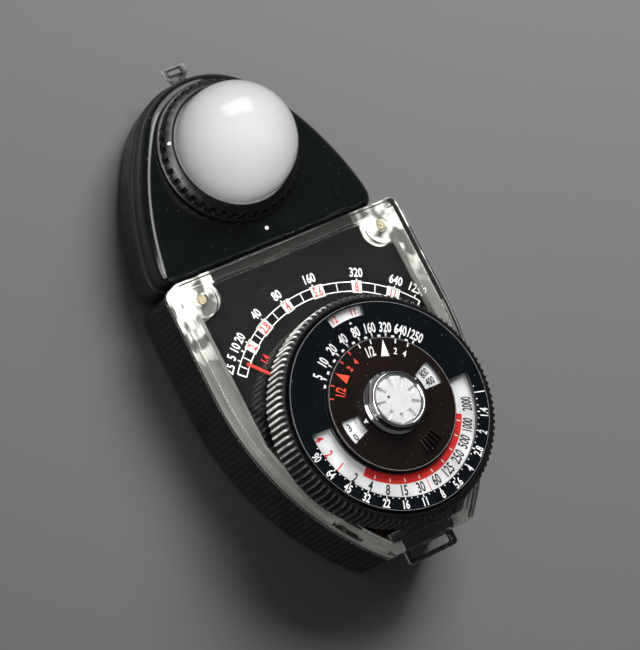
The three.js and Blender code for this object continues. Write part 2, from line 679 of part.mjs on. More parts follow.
function makeButtonCap() {
  const cap = rod(CAP_RADIUS, CAP_Z, 0, 0, 24);
  const grooves = Array.from({ length: 10 }, (_, groove) => {
    const bar = box([3, -0.2, CAP_Z[1] - 0.4], [CAP_RADIUS + 1, 0.2, CAP_Z[1] + 1]);
    return bar.rotateZ(degrees(groove * 36 + 12));
  });
  return cut(cap, ...grooves);
}

function makeReleasePlunger() {
  const top = CAP_Z[0] - GAP;
  return turned([
    [0, 17.1],
    [PLUNGER_RADIUS, 17.1],
    [PLUNGER_RADIUS, 30.3],
    [3.3, 30.3],
    [3.3, top],
    [0, top],
  ], 16);
}

class Helix extends THREE.Curve {
  constructor(radius, bottom, top, turns) {
    super();
    Object.assign(this, { radius, bottom, top, turns });
  }

  getPoint(along, target = new THREE.Vector3()) {
    const angle = along * this.turns * 2 * Math.PI;
    const height = this.bottom + (this.top - this.bottom) * along;
    return target.set(this.radius * Math.cos(angle), this.radius * Math.sin(angle), height);
  }
}

function makeButtonSpring() {
  return wireAlong(new Helix(2.95, SPRING_SEAT_Z + 0.6, 29.7, 4), 0.24, 44);
}

// ---------------------------------------------------------------- head

// The outline of the head about its own centre, moved inwards by inset. The flat base never moves outwards.
function headOutline(inset) {
  const flankAngle = degrees(HEAD_FLANK_ANGLE);
  const offset = HEAD_FLANK_RADIUS - HEAD_TOP_RADIUS;
  const centreX = -offset * Math.cos(flankAngle);
  const centreY = -offset * Math.sin(flankAngle);
  const flankRadius = HEAD_FLANK_RADIUS - inset;
  const cornerY = HEAD_CORNER_Y - HEAD_CENTRE_Y;
  const cornerAngle = Math.asin((cornerY - centreY) / flankRadius);
  const cornerX = centreX + flankRadius * Math.cos(cornerAngle);
  const baseY = HEAD_BASE_Y - HEAD_CENTRE_Y + Math.max(inset, 0);
  const baseHalf = cornerX - 3.4;
  const shape = new THREE.Shape();
  shape.moveTo(-baseHalf, baseY);
  shape.lineTo(baseHalf, baseY);
  shape.quadraticCurveTo(cornerX + 0.7, baseY, cornerX, cornerY);
  shape.absarc(centreX, centreY, flankRadius, cornerAngle, flankAngle, false);
  shape.absarc(0, 0, HEAD_TOP_RADIUS - inset, flankAngle, Math.PI - flankAngle, false);
  shape.absarc(-centreX, centreY, flankRadius, Math.PI - flankAngle, Math.PI - cornerAngle, false);
  shape.quadraticCurveTo(-cornerX - 0.7, baseY, -baseHalf, baseY);
  return shape;
}

// The openings that both halves of the head share: the swivel tube's hole and the slide's slot.
function headOpenings() {
  const baseY = HEAD_BASE_Y - HEAD_CENTRE_Y;
  const swivelHole = rodAlongY(SWIVEL_RADIUS + 0.4, [baseY - 1, baseY + 4], 0, SWIVEL_Z, 20);
  const half = SLIDE_HALF_WIDTH + 0.4;
  const slideSlot = box([-half, 8, SLIDE_Z[0] - GAP], [half, 22, SLIDE_Z[1] + GAP]);
  return [swivelHole, slideSlot];
}

function headScrewPlaces() {
  return [-1, 1].map((side) => [side * HEAD_SCREW.x, HEAD_SCREW.y - HEAD_CENTRE_Y]);
}

function makeHeadRearShell() {
  const flank = [-HEAD_REAR_STEP, HEAD_PARTING_Z];
  const levels = [...roundOver(0.3 - HEAD_REAR_STEP, HEAD_Z[0], HEAD_Z[0] + 2.4).reverse(), flank];
  const cavity = slab(headOutline(HEAD_WALL), [HEAD_Z[0] + 1.8, 30]);
  const cup = cut(stacked(headOutline, levels), cavity);
  const bosses = headScrewPlaces().map(([x, y]) => rod(2.6, [2, HEAD_PARTING_Z - GAP], x, y, 12));
  const cellRests = [30, 150, 270].map((angle) => {
    return rod(1.4, [2, 5.8], 10 * Math.cos(degrees(angle)), 10 * Math.sin(degrees(angle)), 8);
  });
  const holes = headScrewPlaces().map(([x, y]) => rod(1.3, [0, 20], x, y, 10));
  const recesses = headScrewPlaces().map(([x, y]) => rod(2.2, [0, HEAD_Z[0] + 1.4], x, y, 12));
  return cut(join(cup, ...bosses, ...cellRests), ...holes, ...recesses, ...headOpenings());
}

function makeHeadFrontShell() {
  const bottom = HEAD_PARTING_Z + GAP;
  const levels = [[0, bottom], ...roundOver(0, HEAD_Z[1], HEAD_Z[1] - 1.8)];
  const cavity = slab(headOutline(HEAD_WALL), [0, HEAD_Z[1] - 1.6]);
  const cap = cut(stacked(headOutline, levels), cavity);
  const bosses = headScrewPlaces().map(([x, y]) => rod(2.6, [bottom, HEAD_Z[1] - 1], x, y, 12));
  const threads = headScrewPlaces().map(([x, y]) => rod(1.3, [5, 13.8], x, y, 10));
  const lightHole = rod(SEAT_RADII[1] + 0.3, [5, 30], 0, 0, 32);
  return cut(join(cap, ...bosses), ...threads, lightHole, ...headOpenings());
}

function makeHeadScrew() {
  const head = [HEAD_Z[0] + 0.2, HEAD_Z[0] + 1.2];
  const slot = box([-3, -0.25, 0], [3, 0.25, head[0] + 0.4]);
  return cut(join(rod(1.9, head, 0, 0, 12), rod(1, [head[1] - 0.1, 13.4], 0, 0, 8)), slot);
}

// The bayonet seat: a collar through the front shell with two outward lugs at its rim.
function makeBayonetSeat() {
  const tube = ring(SEAT_RADII, [12.3, 17.2], 28);
  const flange = ring([SEAT_RADII[0], 15.2], [12.3, 13.8], 28);
  const lugs = [69, 249].map((middle) => {
    return sector([SEAT_RADII[1] - 0.2, 13.6], [middle - 30, middle + 30], [16.8, 17.2], 6);
  });
  return join(tube, flange, ...lugs);
}

function makePhotocell() {
  return rod(CELL_RADIUS, [7.4, 8.4], 0, 0, 32);
}

function makeCellBacking() {
  return rod(CELL_RADIUS, [6.1, 7.1], 0, 0, 24);
}

function makeCellContactRing() {
  return ring([CELL_RADIUS - 1.4, CELL_RADIUS], [8.7, 9.2], 28);
}

// The high slide: a pierced plate in front of the cell with a slotted tab outside the head.
function makeHighSlide() {
  const shape = new THREE.Shape();
  const plateTop = 14.6;
  const neckHalf = 1.9;
  const tabHalf = 2.8;
  shape.moveTo(-SLIDE_HALF_WIDTH, -13);
  shape.lineTo(SLIDE_HALF_WIDTH, -13);
  shape.lineTo(SLIDE_HALF_WIDTH, 10);
  shape.lineTo(8, plateTop);
  shape.lineTo(neckHalf, plateTop);
  shape.lineTo(neckHalf, 19.6);
  shape.lineTo(tabHalf, 20.6);
  shape.lineTo(tabHalf, 22.6);
  shape.lineTo(-tabHalf, 22.6);
  shape.lineTo(-tabHalf, 20.6);
  shape.lineTo(-neckHalf, 19.6);
  shape.lineTo(-neckHalf, plateTop);
  shape.lineTo(-8, plateTop);
  shape.lineTo(-SLIDE_HALF_WIDTH, 10);
  const tabSlot = box([-1.6, 20.9, 5], [1.6, 22, 15]);
  const holes = [];
  for (let row = -1; row <= 1; row += 1) {
    for (let column = -1; column <= 1; column += 1) {
      holes.push(rod(0.9, [5, 15], column * 6, row * 6, 6));
    }
  }
  return cut(slab(shape, SLIDE_Z), tabSlot, ...holes);
}

// Parts on the swivel axis are turned about Z and then laid along Y, with height as distance along Y.
function alongSwivel(geometry) {
  return geometry.rotateX(-Math.PI / 2).translate(0, 0, SWIVEL_Z);
}

function makeSwivelTube() {
  const bore = 2.8;
  return alongSwivel(turned([
    [bore, 36.4],
    [SWIVEL_RADIUS, 36.4],
    [SWIVEL_RADIUS, 44.3],
    [5, 44.3],
    [5, 45.2],
    [bore, 45.2],
  ], 18));
}

// The nut that holds the head on has one lug, which meets the stop block at each end of the swivel.
function makeSwivelNut() {
  const body = ring([SWIVEL_RADIUS + 0.3, 5.2], [36.6, 37.8], 18);
  const lug = sector([5, 6.1], [117, 153], [36.6, 37.8], 4);
  return alongSwivel(join(body, lug));
}

function makeSwivelWasher() {
  return alongSwivel(ring([SWIVEL_RADIUS + 0.4, 5.2], [38.2, 38.8], 18));
}

function makeSwivelStop() {
  return alongSwivel(sector([5.5, 7.6], [-15, 15], [36.6, 39.1], 3));
}

function makeHeadLead(side) {
  const route = [
    [side * 4.2, -14, 6.6],
    [side * 3.4, -16.4, 7],
    [side * 1.2, -18.6, SWIVEL_Z],
  ];
  return wire(route, 0.5, 6);
}

// ---------------------------------------------------------------- diffuser

// The ring has a knurled rim, a lip over the dome's flange and two inward lugs.
function makeDiffuserRing() {
  const wallRadius = 14.2;
  const lipRadius = 13.3;
  const lipZ = 18.6;
  const body = turned([
    [wallRadius, RING_Z[0]],
    [RING_RADIUS, RING_Z[0]],
    [RING_RADIUS, 16.5],
    [15.6, 16.7],
    [15.6, 18],
    [13.9, RING_Z[1]],
    [lipRadius, RING_Z[1]],
    [lipRadius, lipZ],
    [wallRadius, lipZ],
  ], 32);
  const lugs = [48, 228].map((middle) => {
    return sector([12.9, wallRadius + 0.2], [middle - 30, middle + 30], [16.1, 16.5], 6);
  });
  return join(body, ...lugs);
}

// The dome: a thin sphere cut off below its middle, with a flange.
function makeDiffuserDome() {
  const flangeZ = [17.5, 18.3];
  const innerRadius = DOME_RADIUS - DOME_WALL;
  const arc = (radius, startZ, steps) => {
    const start = Math.asin((startZ - DOME_CENTRE_Z) / radius);
    return Array.from({ length: steps + 1 }, (_, step) => {
      const angle = start + (Math.PI / 2 - start) * (step / steps);
      const distance = step === steps ? 0 : radius * Math.cos(angle);
      return [distance, DOME_CENTRE_Z + radius * Math.sin(angle)];
    });
  };
  const outer = arc(DOME_RADIUS, flangeZ[1], 8);
  const inner = arc(innerRadius, flangeZ[0], 6).reverse();
  return turned([...inner, [13.9, flangeZ[0]], [13.9, flangeZ[1]], ...outer], 28);
}

// ---------------------------------------------------------------- assembly

const lightMeter = new THREE.Group();

lightMeter.add(
  part('lower_case', makeLowerCase(), MATT_BLACK),
  part('clear_cover', makeClearCover(), CLEAR),
  part('scale_plate', makeScalePlate(), SCALE_BLACK),
  part('strap_bail', makeStrapBail(), STEEL),
);
CASE_SCREWS.forEach(([x, y], place) => {
  const screw = part(`case_screw_${place + 1}`, makeCaseScrew(), BRASS);
  screw.position.set(x, y, 0);
  lightMeter.add(screw);
});

const movement = new THREE.Group();
movement.add(
  part('movement_base', makeMovementBase(), BRASS),
  part('movement_bridge', makeMovementBridge(), BRASS),
  part('magnet_yoke', ring(YOKE_RADII, [5.4, 11], 28), STEEL),
  part('core_magnet', makeCoreMagnet(), MAGNET_GREY),
  part('lower_jewel', makeJewelScrew([2.4, 4]), JEWEL_RED),
  part('upper_jewel', makeJewelScrew([13.1, BRIDGE_Z[1]]), JEWEL_RED),
  part('zero_lever', makeZeroLever(), STEEL),
  part('brake_lever', makeBrakeLever(), STEEL),
  part('brake_pivot_pin', rodAlongX(0.6, [-4.5, 4.5], BRAKE_PIVOT.y, BRAKE_PIVOT.z, 10), STEEL),
  part('terminal_board', makeTerminalBoard(), BOARD_BROWN),
  part('calibration_resistor', makeResistor(), BOARD_BROWN),
  part('movement_lead_red', makeLead(-1), SIGNAL_RED),
  part('movement_lead_black', makeLead(1), MATT_BLACK),
);
[['bridge_screw_left', -MOVEMENT_POST_X], ['bridge_screw_right', MOVEMENT_POST_X]].forEach(([name, x]) => {
  const screw = part(name, makeBridgeScrew(), STEEL);
  screw.position.x = x;
  movement.add(screw);
});
const zeroScrew = part('zero_screw', makeZeroScrew(), STEEL);
zeroScrew.position.y = ZERO_SCREW_Y;
movement.add(zeroScrew);

// The moving system is made along +X and turned to where the pointer rests.
const movingSystem = new THREE.Group();
movingSystem.rotation.z = degrees(POINTER_REST_DEG);
const movingCoil = part('moving_coil', makeMovingCoil(), COPPER);
movingCoil.rotation.z = degrees(90);
movingSystem.add(
  movingCoil,
  part('pointer', makePointer(), SIGNAL_RED),
  part('hairspring_lower', makeHairspring([4.4, 4.7]), BRASS),
  part('hairspring_upper', makeHairspring([11.9, 12.1]), BRASS),
);
movement.add(movingSystem);
lightMeter.add(movement);

const dial = new THREE.Group();
dial.add(
  part('dial_hub', makeDialHub(), BRASS),
  part('hub_nut', makeHubNut(), BRASS),
  part('exposure_disc', makeExposureDisc(), GLOSS_BLACK),
  part('shutter_disc', makeShutterDisc(), DISC_WHITE),
  part('knurled_dial', makeKnurledDial(), MATT_BLACK),
  part('friction_washer', makeFrictionWasher(), STEEL),
  part('film_speed_disc', makeFilmSpeedDisc(), DISC_BROWN),
  part('sleeve_clip', makeSleeveClip(), STEEL),
  part('centre_collar', makeCentreCollar(), CHROME),
  part('button_cap', makeButtonCap(), CHROME),
  part('release_plunger', makeReleasePlunger(), STEEL),
  part('button_spring', makeButtonSpring(), STEEL),
);
lightMeter.add(dial);

// Everything that swivels but the swivel's own parts is placed about the centre of the diffuser.
const head = new THREE.Group();
head.position.y = HEAD_CENTRE_Y;
head.add(
  part('head_rear_shell', makeHeadRearShell(), MATT_BLACK),
  part('head_front_shell', makeHeadFrontShell(), GLOSS_BLACK),
  part('bayonet_seat', makeBayonetSeat(), MATT_BLACK),
  part('photocell', makePhotocell(), CELL_VIOLET),
  part('cell_backing', makeCellBacking(), BOARD_BROWN),
  part('cell_contact_ring', makeCellContactRing(), BRASS),
  part('high_slide', makeHighSlide(), STEEL),
  part('head_lead_red', makeHeadLead(-1), SIGNAL_RED),
  part('head_lead_black', makeHeadLead(1), MATT_BLACK),
  part('diffuser_ring', makeDiffuserRing(), MATT_BLACK),
  part('diffuser_dome', makeDiffuserDome(), OPAL),
);
['head_screw_left', 'head_screw_right'].forEach((name, place) => {
  const [x, y] = headScrewPlaces()[place];
  const screw = part(name, makeHeadScrew(), STEEL);
  screw.position.set(x, y, 0);
  head.add(screw);
});
lightMeter.add(head);

lightMeter.add(
  part('swivel_tube', makeSwivelTube(), BRASS),
  part('swivel_nut', makeSwivelNut(), BRASS),
  part('swivel_washer', makeSwivelWasher(), STEEL),
  part('swivel_stop', makeSwivelStop(), MATT_BLACK),
);

export default lightMeter;
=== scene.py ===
import json
import math

import bmesh
import bpy
from mathutils import Matrix, Vector
from mathutils.geometry import tessellate_polygon


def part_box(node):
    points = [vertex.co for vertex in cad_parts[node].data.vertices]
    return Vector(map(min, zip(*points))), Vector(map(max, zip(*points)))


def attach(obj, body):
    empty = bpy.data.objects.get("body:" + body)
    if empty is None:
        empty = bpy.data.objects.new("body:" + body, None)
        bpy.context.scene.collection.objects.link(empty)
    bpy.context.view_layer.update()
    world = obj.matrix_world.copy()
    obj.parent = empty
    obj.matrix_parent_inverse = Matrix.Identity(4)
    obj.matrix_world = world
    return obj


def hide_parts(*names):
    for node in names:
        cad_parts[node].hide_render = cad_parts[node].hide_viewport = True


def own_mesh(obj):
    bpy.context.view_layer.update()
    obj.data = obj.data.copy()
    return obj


# Looks of a handheld light meter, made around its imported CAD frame.
# Shapes are written in millimetres and become metres where a mesh is made.
# The dial's axis is at x = 0, y = 0, the back lies on z = 0, and the head is towards +Y.

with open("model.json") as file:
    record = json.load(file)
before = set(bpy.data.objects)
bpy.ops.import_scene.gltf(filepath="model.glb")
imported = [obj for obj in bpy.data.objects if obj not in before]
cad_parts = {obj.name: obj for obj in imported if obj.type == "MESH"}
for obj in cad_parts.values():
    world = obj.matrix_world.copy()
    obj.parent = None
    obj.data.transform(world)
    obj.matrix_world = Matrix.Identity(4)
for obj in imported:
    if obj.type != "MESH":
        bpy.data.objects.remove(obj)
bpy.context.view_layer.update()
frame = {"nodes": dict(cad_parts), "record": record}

MM = 0.001
SHARP_ANGLE = math.radians(35)
EDGE_STEPS = 3


def span(node):
    """The lowest and highest z of a CAD node, in millimetres."""
    low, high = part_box(node)
    return low[2] / MM, high[2] / MM


# Main sizes
CASE_LOW, CASE_HIGH = span("lower_case")
COVER_LOW, COVER_HIGH = span("clear_cover")
PLATE_LOW, PLATE_HIGH = span("scale_plate")
KNURL_LOW, KNURL_HIGH = span("knurled_dial")
EXPOSURE_LOW, EXPOSURE_HIGH = span("exposure_disc")
SHUTTER_HIGH = span("shutter_disc")[1]
COLLAR_LOW, COLLAR_HIGH = span("centre_collar")
CAP_LOW, CAP_HIGH = span("button_cap")
REAR_LOW, REAR_HIGH = span("head_rear_shell")
FRONT_LOW, FRONT_HIGH = span("head_front_shell")
RING_LOW, RING_HIGH = span("diffuser_ring")
BAIL_LOW, BAIL_HIGH = span("strap_bail")

CASE_INSET = 0.3
CASE_WALL = 1.8
CASE_FLOOR = 2.0
RIB_PITCH = 1.25
RIB_DEPTH = 0.32
RIB_POINTS = 6
COVER_WALL = 2.6
COVER_PLATE = 1.6
COVER_CAVITY_HALF = 24.9
COVER_HOLE = 5.3
TOP_SCREWS = [(-23, 36.6), (23, 36.6)]
LOW_SCREWS = [(-13.2, -16.7), (13.2, -16.7)]
SCREWS = TOP_SCREWS + LOW_SCREWS
SCREW_HOLE = 1.35
SCREW_HEAD = 2.5
SEAL_HOLE = 1.3
ZERO_HOLE = 2.6
ZERO_HOLE_PLACE = (0, -13)
COVER_NOTCH = ((-6.6, -29, 14), (6.6, -24, 16.9))
TOP_BOSS = 4.0
LOW_BOSS = 3.2
PLATE_HALF = 24.4
PLATE_TOP_Y = 38.6
PLATE_LOW_Y = 9.0
PLATE_HOLE = 17.0
PLATE_BOSS_CUT = 4.4
HEAD_Y = 64.4
HEAD_WALL = 1.6
HEAD_REAR_STEP = 0.7
FRONT_ROUND = 2.6
FRONT_DROP = 2.2
HEAD_SCREWS = [(-20.5, 49), (20.5, 49)]
HEAD_SCREW_HOLE = 1.3
HEAD_SCREW_HEAD = 2.2
HEAD_BOSS = 2.6
HEAD_OPENING = 12.9
SWIVEL_Z = 8.5
SWIVEL_RADIUS = 4.4
KNURL_TEETH = 108
KNURL_DEPTH = 0.6
CAP_GROOVES = 9
DISC_RADIUS = 22.4
DISC_THICKNESS = 0.9
POST_RADIUS = 0.9
POST_CIRCLE = 10
POST_ANGLES = (60, 90, 120)
DISC_HOLE = 6.5
SHUTTER_WINDOW = (14.7, 19.4, 177, 359)
EV_WINDOW = (19.6, 21.8, 78.5, 101.5)
FILM_RADIUS = 14.3
FILM_LOW = 29.0
FILM_HIGH = 29.6
FILM_WINDOWS = [(8.4, 12.6, -1, 24), (8.4, 12.6, 176, 200)]
FILM_SLEEVE = 5.3
GRIP_BARS = 5
GRIP_START = -80
GRIP_PITCH = 5.2
PRINT_THICKNESS = 0.03
PRINT_SUNK = 0.005
PRINT_LIFT = 0.02
DIGIT_HEIGHT = 0.7


# ---------------------------------------------------------------- outlines

def turn(radius, degrees, centre=(0, 0)):
    """The point at a radius and an angle from +X round a centre."""
    angle = math.radians(degrees)
    return centre[0] + radius * math.cos(angle), centre[1] + radius * math.sin(angle)


def arc(radius, start, end, steps, centre=(0, 0)):
    return [turn(radius, start + (end - start) * i / steps, centre) for i in range(steps + 1)]


def circle(radius, centre=(0, 0), steps=96):
    return arc(radius, 0, 360, steps, centre)[:-1]


def sector(inner, outer, start, end, step=2.5):
    steps = max(1, round((end - start) / step))
    return arc(outer, start, end, steps) + arc(inner, end, start, steps)


def rectangle(low, high):
    return [low, (high[0], low[1]), high, (low[0], high[1])]


def rounded_rectangle(low, high, radius, steps=6):
    corners = [
        (high[0] - radius, low[1] + radius, -90),
        (high[0] - radius, high[1] - radius, 0),
        (low[0] + radius, high[1] - radius, 90),
        (low[0] + radius, low[1] + radius, 180),
    ]
    loop = []
    for x, y, start in corners:
        loop.extend(arc(radius, start, start + 90, steps, (x, y)))
    return loop


def bent(start, control, end, steps=10):
    """A quadratic curve without its first point."""
    points = []
    for i in range(1, steps + 1):
        t = i / steps
        points.append(tuple(
            (1 - t) ** 2 * start[k] + 2 * t * (1 - t) * control[k] + t * t * end[k]
            for k in (0, 1)
        ))
    return points


def mirrored(half):
    """A closed outline from its right half, given from the bottom to the top."""
    return half + [(-x, y) for x, y in reversed(half)]


def spaced(loop, count):
    """A closed outline with its points spread evenly along it."""
    ends = loop[1:] + loop[:1]
    lengths = [math.dist(a, b) for a, b in zip(loop, ends)]
    total = sum(lengths)
    points = []
    side = 0
    passed = 0.0
    for i in range(count):
        wanted = total * i / count
        while passed + lengths[side] < wanted:
            passed += lengths[side]
            side += 1
        share = (wanted - passed) / lengths[side]
        a, b = loop[side], ends[side]
        points.append((a[0] + (b[0] - a[0]) * share, a[1] + (b[1] - a[1]) * share))
    return points


def perimeter(loop):
    return sum(math.dist(a, b) for a, b in zip(loop, loop[1:] + loop[:1]))


def area(loop):
    ends = loop[1:] + loop[:1]
    return sum(a[0] * b[1] - b[0] * a[1] for a, b in zip(loop, ends)) / 2


def inward(loop):
    """The mitred inward direction at each point of a closed outline."""
    way = 1 if area(loop) > 0 else -1
    directions = []
    for i, point in enumerate(loop):
        here = Vector(point)
        before = (here - Vector(loop[i - 1])).normalized()
        after = (Vector(loop[(i + 1) % len(loop)]) - here).normalized()
        side = Vector((-before.y - after.y, before.x + after.x)).normalized()
        reach = max(0.5, side.dot(Vector((-before.y, before.x))))
        directions.append(side * way / reach)
    return directions


def inset(loop, distance):
    """A closed outline drawn in by a small distance, or out where it is negative."""
    if abs(distance) < 1e-9:
        return list(loop)
    return [
        (x + side.x * distance, y + side.y * distance)
        for (x, y), side in zip(loop, inward(loop))
    ]


def body_outline(shift, steps=40):
    """The case's outline: bowed sides, a flat bottom and nearly square top corners."""
    radius = 62 - shift
    centre = (-33, 17)
    bottom = -27.8 + shift
    top = 41.5 - shift
    half = 29 - shift
    corner = max(2.2 - shift, 0.4)
    sweep = math.degrees(math.asin((centre[1] - bottom) / radius))
    side = arc(radius, -sweep, 0, steps, centre)
    top_corner = arc(corner, 0, 90, 6, (half - corner, top - corner))
    return mirrored(side + top_corner)


def head_outline(shift, steps=40):
    """The head's outline: a round top, bowed flanks and a flat base with tight corners."""
    top_radius = 18.4
    flank_radius = 65
    flank_angle = 37
    corner_y = 47 - HEAD_Y
    offset = flank_radius - top_radius
    centre = turn(-offset, flank_angle)
    low_angle = math.degrees(math.asin((corner_y - centre[1]) / (flank_radius - shift)))
    corner_x = centre[0] + (flank_radius - shift) * math.cos(math.radians(low_angle))
    base_y = 42.1 - HEAD_Y + max(shift, 0)
    base = (corner_x - 3.4, base_y)
    half = [base] + bent(base, (corner_x + 0.7, base_y), (corner_x, corner_y))
    half += arc(flank_radius - shift, low_angle, flank_angle, steps, centre)[1:]
    half += arc(top_radius - shift, flank_angle, 90, 20)[1:-1]
    top = [(0, top_radius - shift)]
    loop = half + top + [(-x, y) for x, y in reversed(half)]
    return [(x, y + HEAD_Y) for x, y in loop]


# ---------------------------------------------------------------- solids

def lofted(rows, wrap=True):
    """A surface through rows of points, where a row of one point is a pole.

    With wrap, the last row is joined to the first.
    """
    verts = [point for row in rows for point in row]
    starts = []
    count = 0
    for row in rows:
        starts.append(count)
        count += len(row)
    faces = []
    pairs = list(range(len(rows) - 1)) + ([len(rows) - 1] if wrap else [])
    for k in pairs:
        after = (k + 1) % len(rows)
        low, high = rows[k], rows[after]
        around = max(len(low), len(high))
        if around == 1:
            continue
        for i in range(around):
            j = (i + 1) % around
            corners = [starts[k] + i % len(low), starts[k] + j % len(low)]
            corners += [starts[after] + j % len(high), starts[after] + i % len(high)]
            faces.append(tuple(dict.fromkeys(corners)))
    return verts, faces


def turned(profile, steps=128, centre=(0, 0)):
    """A closed profile of (radius, height) points swept round an axis along Z."""
    rows = []
    for radius, height in profile:
        if radius < 1e-6:
            rows.append([(centre[0], centre[1], height)])
        else:
            rows.append([(x, y, height) for x, y in circle(radius, centre, steps)])
    return lofted(rows)


def cap(verts, rings):
    """Triangles that fill a flat face between its outer ring and its holes."""
    order = [i for ring in rings for i in ring]
    polygons = [[Vector(verts[i]) for i in ring] for ring in rings]
    return [tuple(order[i] for i in corners) for corners in tessellate_polygon(polygons)]


def edge_levels(low, high, low_round, high_round):
    """(inset, height) pairs up a wall whose lower and upper edges are rounded."""
    quarter = [math.pi / 2 * i / EDGE_STEPS for i in range(EDGE_STEPS + 1)]
    levels = [(0.0, low)]
    if low_round:
        levels = [
            (low_round * (1 - math.sin(a)), low + low_round * (1 - math.cos(a))) for a in quarter
        ]
    if high_round:
        levels += [
            (high_round * (1 - math.cos(a)), high - high_round * (1 - math.sin(a)))
            for a in quarter
        ]
    else:
        levels.append((0.0, high))
    return levels


def walled(loops_by_level):
    """A solid from levels of (loops, height), where the loops are an outer one and its holes."""
    verts = []
    faces = []
    bottoms = []
    tops = []
    for which in range(len(loops_by_level[0][0])):
        start = len(verts)
        count = len(loops_by_level[0][0][which])
        for loops, height in loops_by_level:
            verts.extend((x, y, height) for x, y in loops[which])
        for level in range(len(loops_by_level) - 1):
            for i in range(count):
                a = start + level * count + i
                b = start + level * count + (i + 1) % count
                faces.append((a, b, b + count, a + count))
        bottoms.append(range(start, start + count))
        last = start + count * (len(loops_by_level) - 1)
        tops.append(range(last, last + count))
    return verts, faces + cap(verts, bottoms) + cap(verts, tops)


def slab(outer, holes, low, high, low_round=0.0, high_round=0.0):
    """A flat plate with holes whose edges are rounded."""
    levels = []
    for shift, height in edge_levels(low, high, low_round, high_round):
        loops = [inset(outer, shift)] + [inset(hole, -shift) for hole in holes]
        levels.append((loops, height))
    return walled(levels)


def rod(radius, low, high, centre=(0, 0), steps=48):
    return slab(circle(radius, centre, steps), [], low, high)


def block(low, high):
    return slab(rectangle(low[:2], high[:2]), [], low[2], high[2])


def toothed(profile, dips, teeth, centre=(0, 0)):
    """A turned profile of (radius, depth, height) points that dips in at every tooth."""
    points = teeth * len(dips)
    rows = []
    for radius, depth, height in profile:
        row = []
        for i in range(points):
            x, y = turn(radius - depth * dips[i % len(dips)], 360 * i / points, centre)
            row.append((x, y, height))
        rows.append(row)
    return lofted(rows)


def merged(shapes):
    verts = []
    faces = []
    for shape_verts, shape_faces in shapes:
        start = len(verts)
        verts.extend(shape_verts)
        faces.extend(tuple(start + i for i in face) for face in shape_faces)
    return verts, faces


def moved(shape, matrix):
    return [tuple(matrix @ Vector(v)) for v in shape[0]], shape[1]


def spun(shape, degrees):
    return moved(shape, Matrix.Rotation(math.radians(degrees), 4, "Z"))


def mesh_of(name, shape):
    """A mesh in metres whose faces all look outwards."""
    verts, faces = shape
    mesh = bpy.data.meshes.new(name)
    mesh.from_pydata([Vector(v) * MM for v in verts], [], faces)
    work = bmesh.new()
    work.from_mesh(mesh)
    bmesh.ops.recalc_face_normals(work, faces=work.faces)
    work.to_mesh(mesh)
    work.free()
    return mesh


def placed(name, data):
    """A new object in the scene."""
    made = bpy.data.objects.new(name, data)
    bpy.context.scene.collection.objects.link(made)
    return made


def evaluated(made):
    """The mesh of an object with its modifiers applied."""
    bpy.context.view_layer.update()
    graph = bpy.context.evaluated_depsgraph_get()
    return bpy.data.meshes.new_from_object(made.evaluated_get(graph))


def cuts(*shapes):
    return [("DIFFERENCE", shape) for shape in shapes]


def joins(*shapes):
    return [("UNION", shape) for shape in shapes]


def carved(name, shape, steps):
    """A mesh cut or joined with further shapes; steps are (operation, shape) pairs."""
    base = placed(name + "_base", mesh_of(name + "_base", shape))
    tools = []
    for operation, tool_shape in steps:
        tool = placed(name + "_tool", mesh_of(name + "_tool", tool_shape))
        tools.append(tool)
        modifier = base.modifiers.new("carve", "BOOLEAN")
        modifier.operation = operation
        modifier.solver = "EXACT"
        modifier.object = tool
    mesh = evaluated(base)
    for used in [base] + tools:
        bpy.data.objects.remove(used)
    mesh.name = name
    return mesh


def add_piece(name, shape, body, slot, replaces=(), weighted=False, material=None):
    """A piece of the looks from a shape or a mesh, riding on a CAD body.

    Its material is the slot's own one unless another is named.
    """
    mesh = shape if isinstance(shape, bpy.types.Mesh) else mesh_of(name, shape)
    mesh.materials.clear()
    mesh.materials.append(MATERIALS[material or slot])
    mesh.shade_smooth()
    mesh.set_sharp_from_angle(angle=SHARP_ANGLE)
    piece = placed(name, mesh)
    if weighted:
        shading = piece.modifiers.new("shading", "WEIGHTED_NORMAL")
        shading.keep_sharp = True
    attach(piece, body)
    if replaces:
        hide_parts(*replaces)
    return piece


# ---------------------------------------------------------------- materials

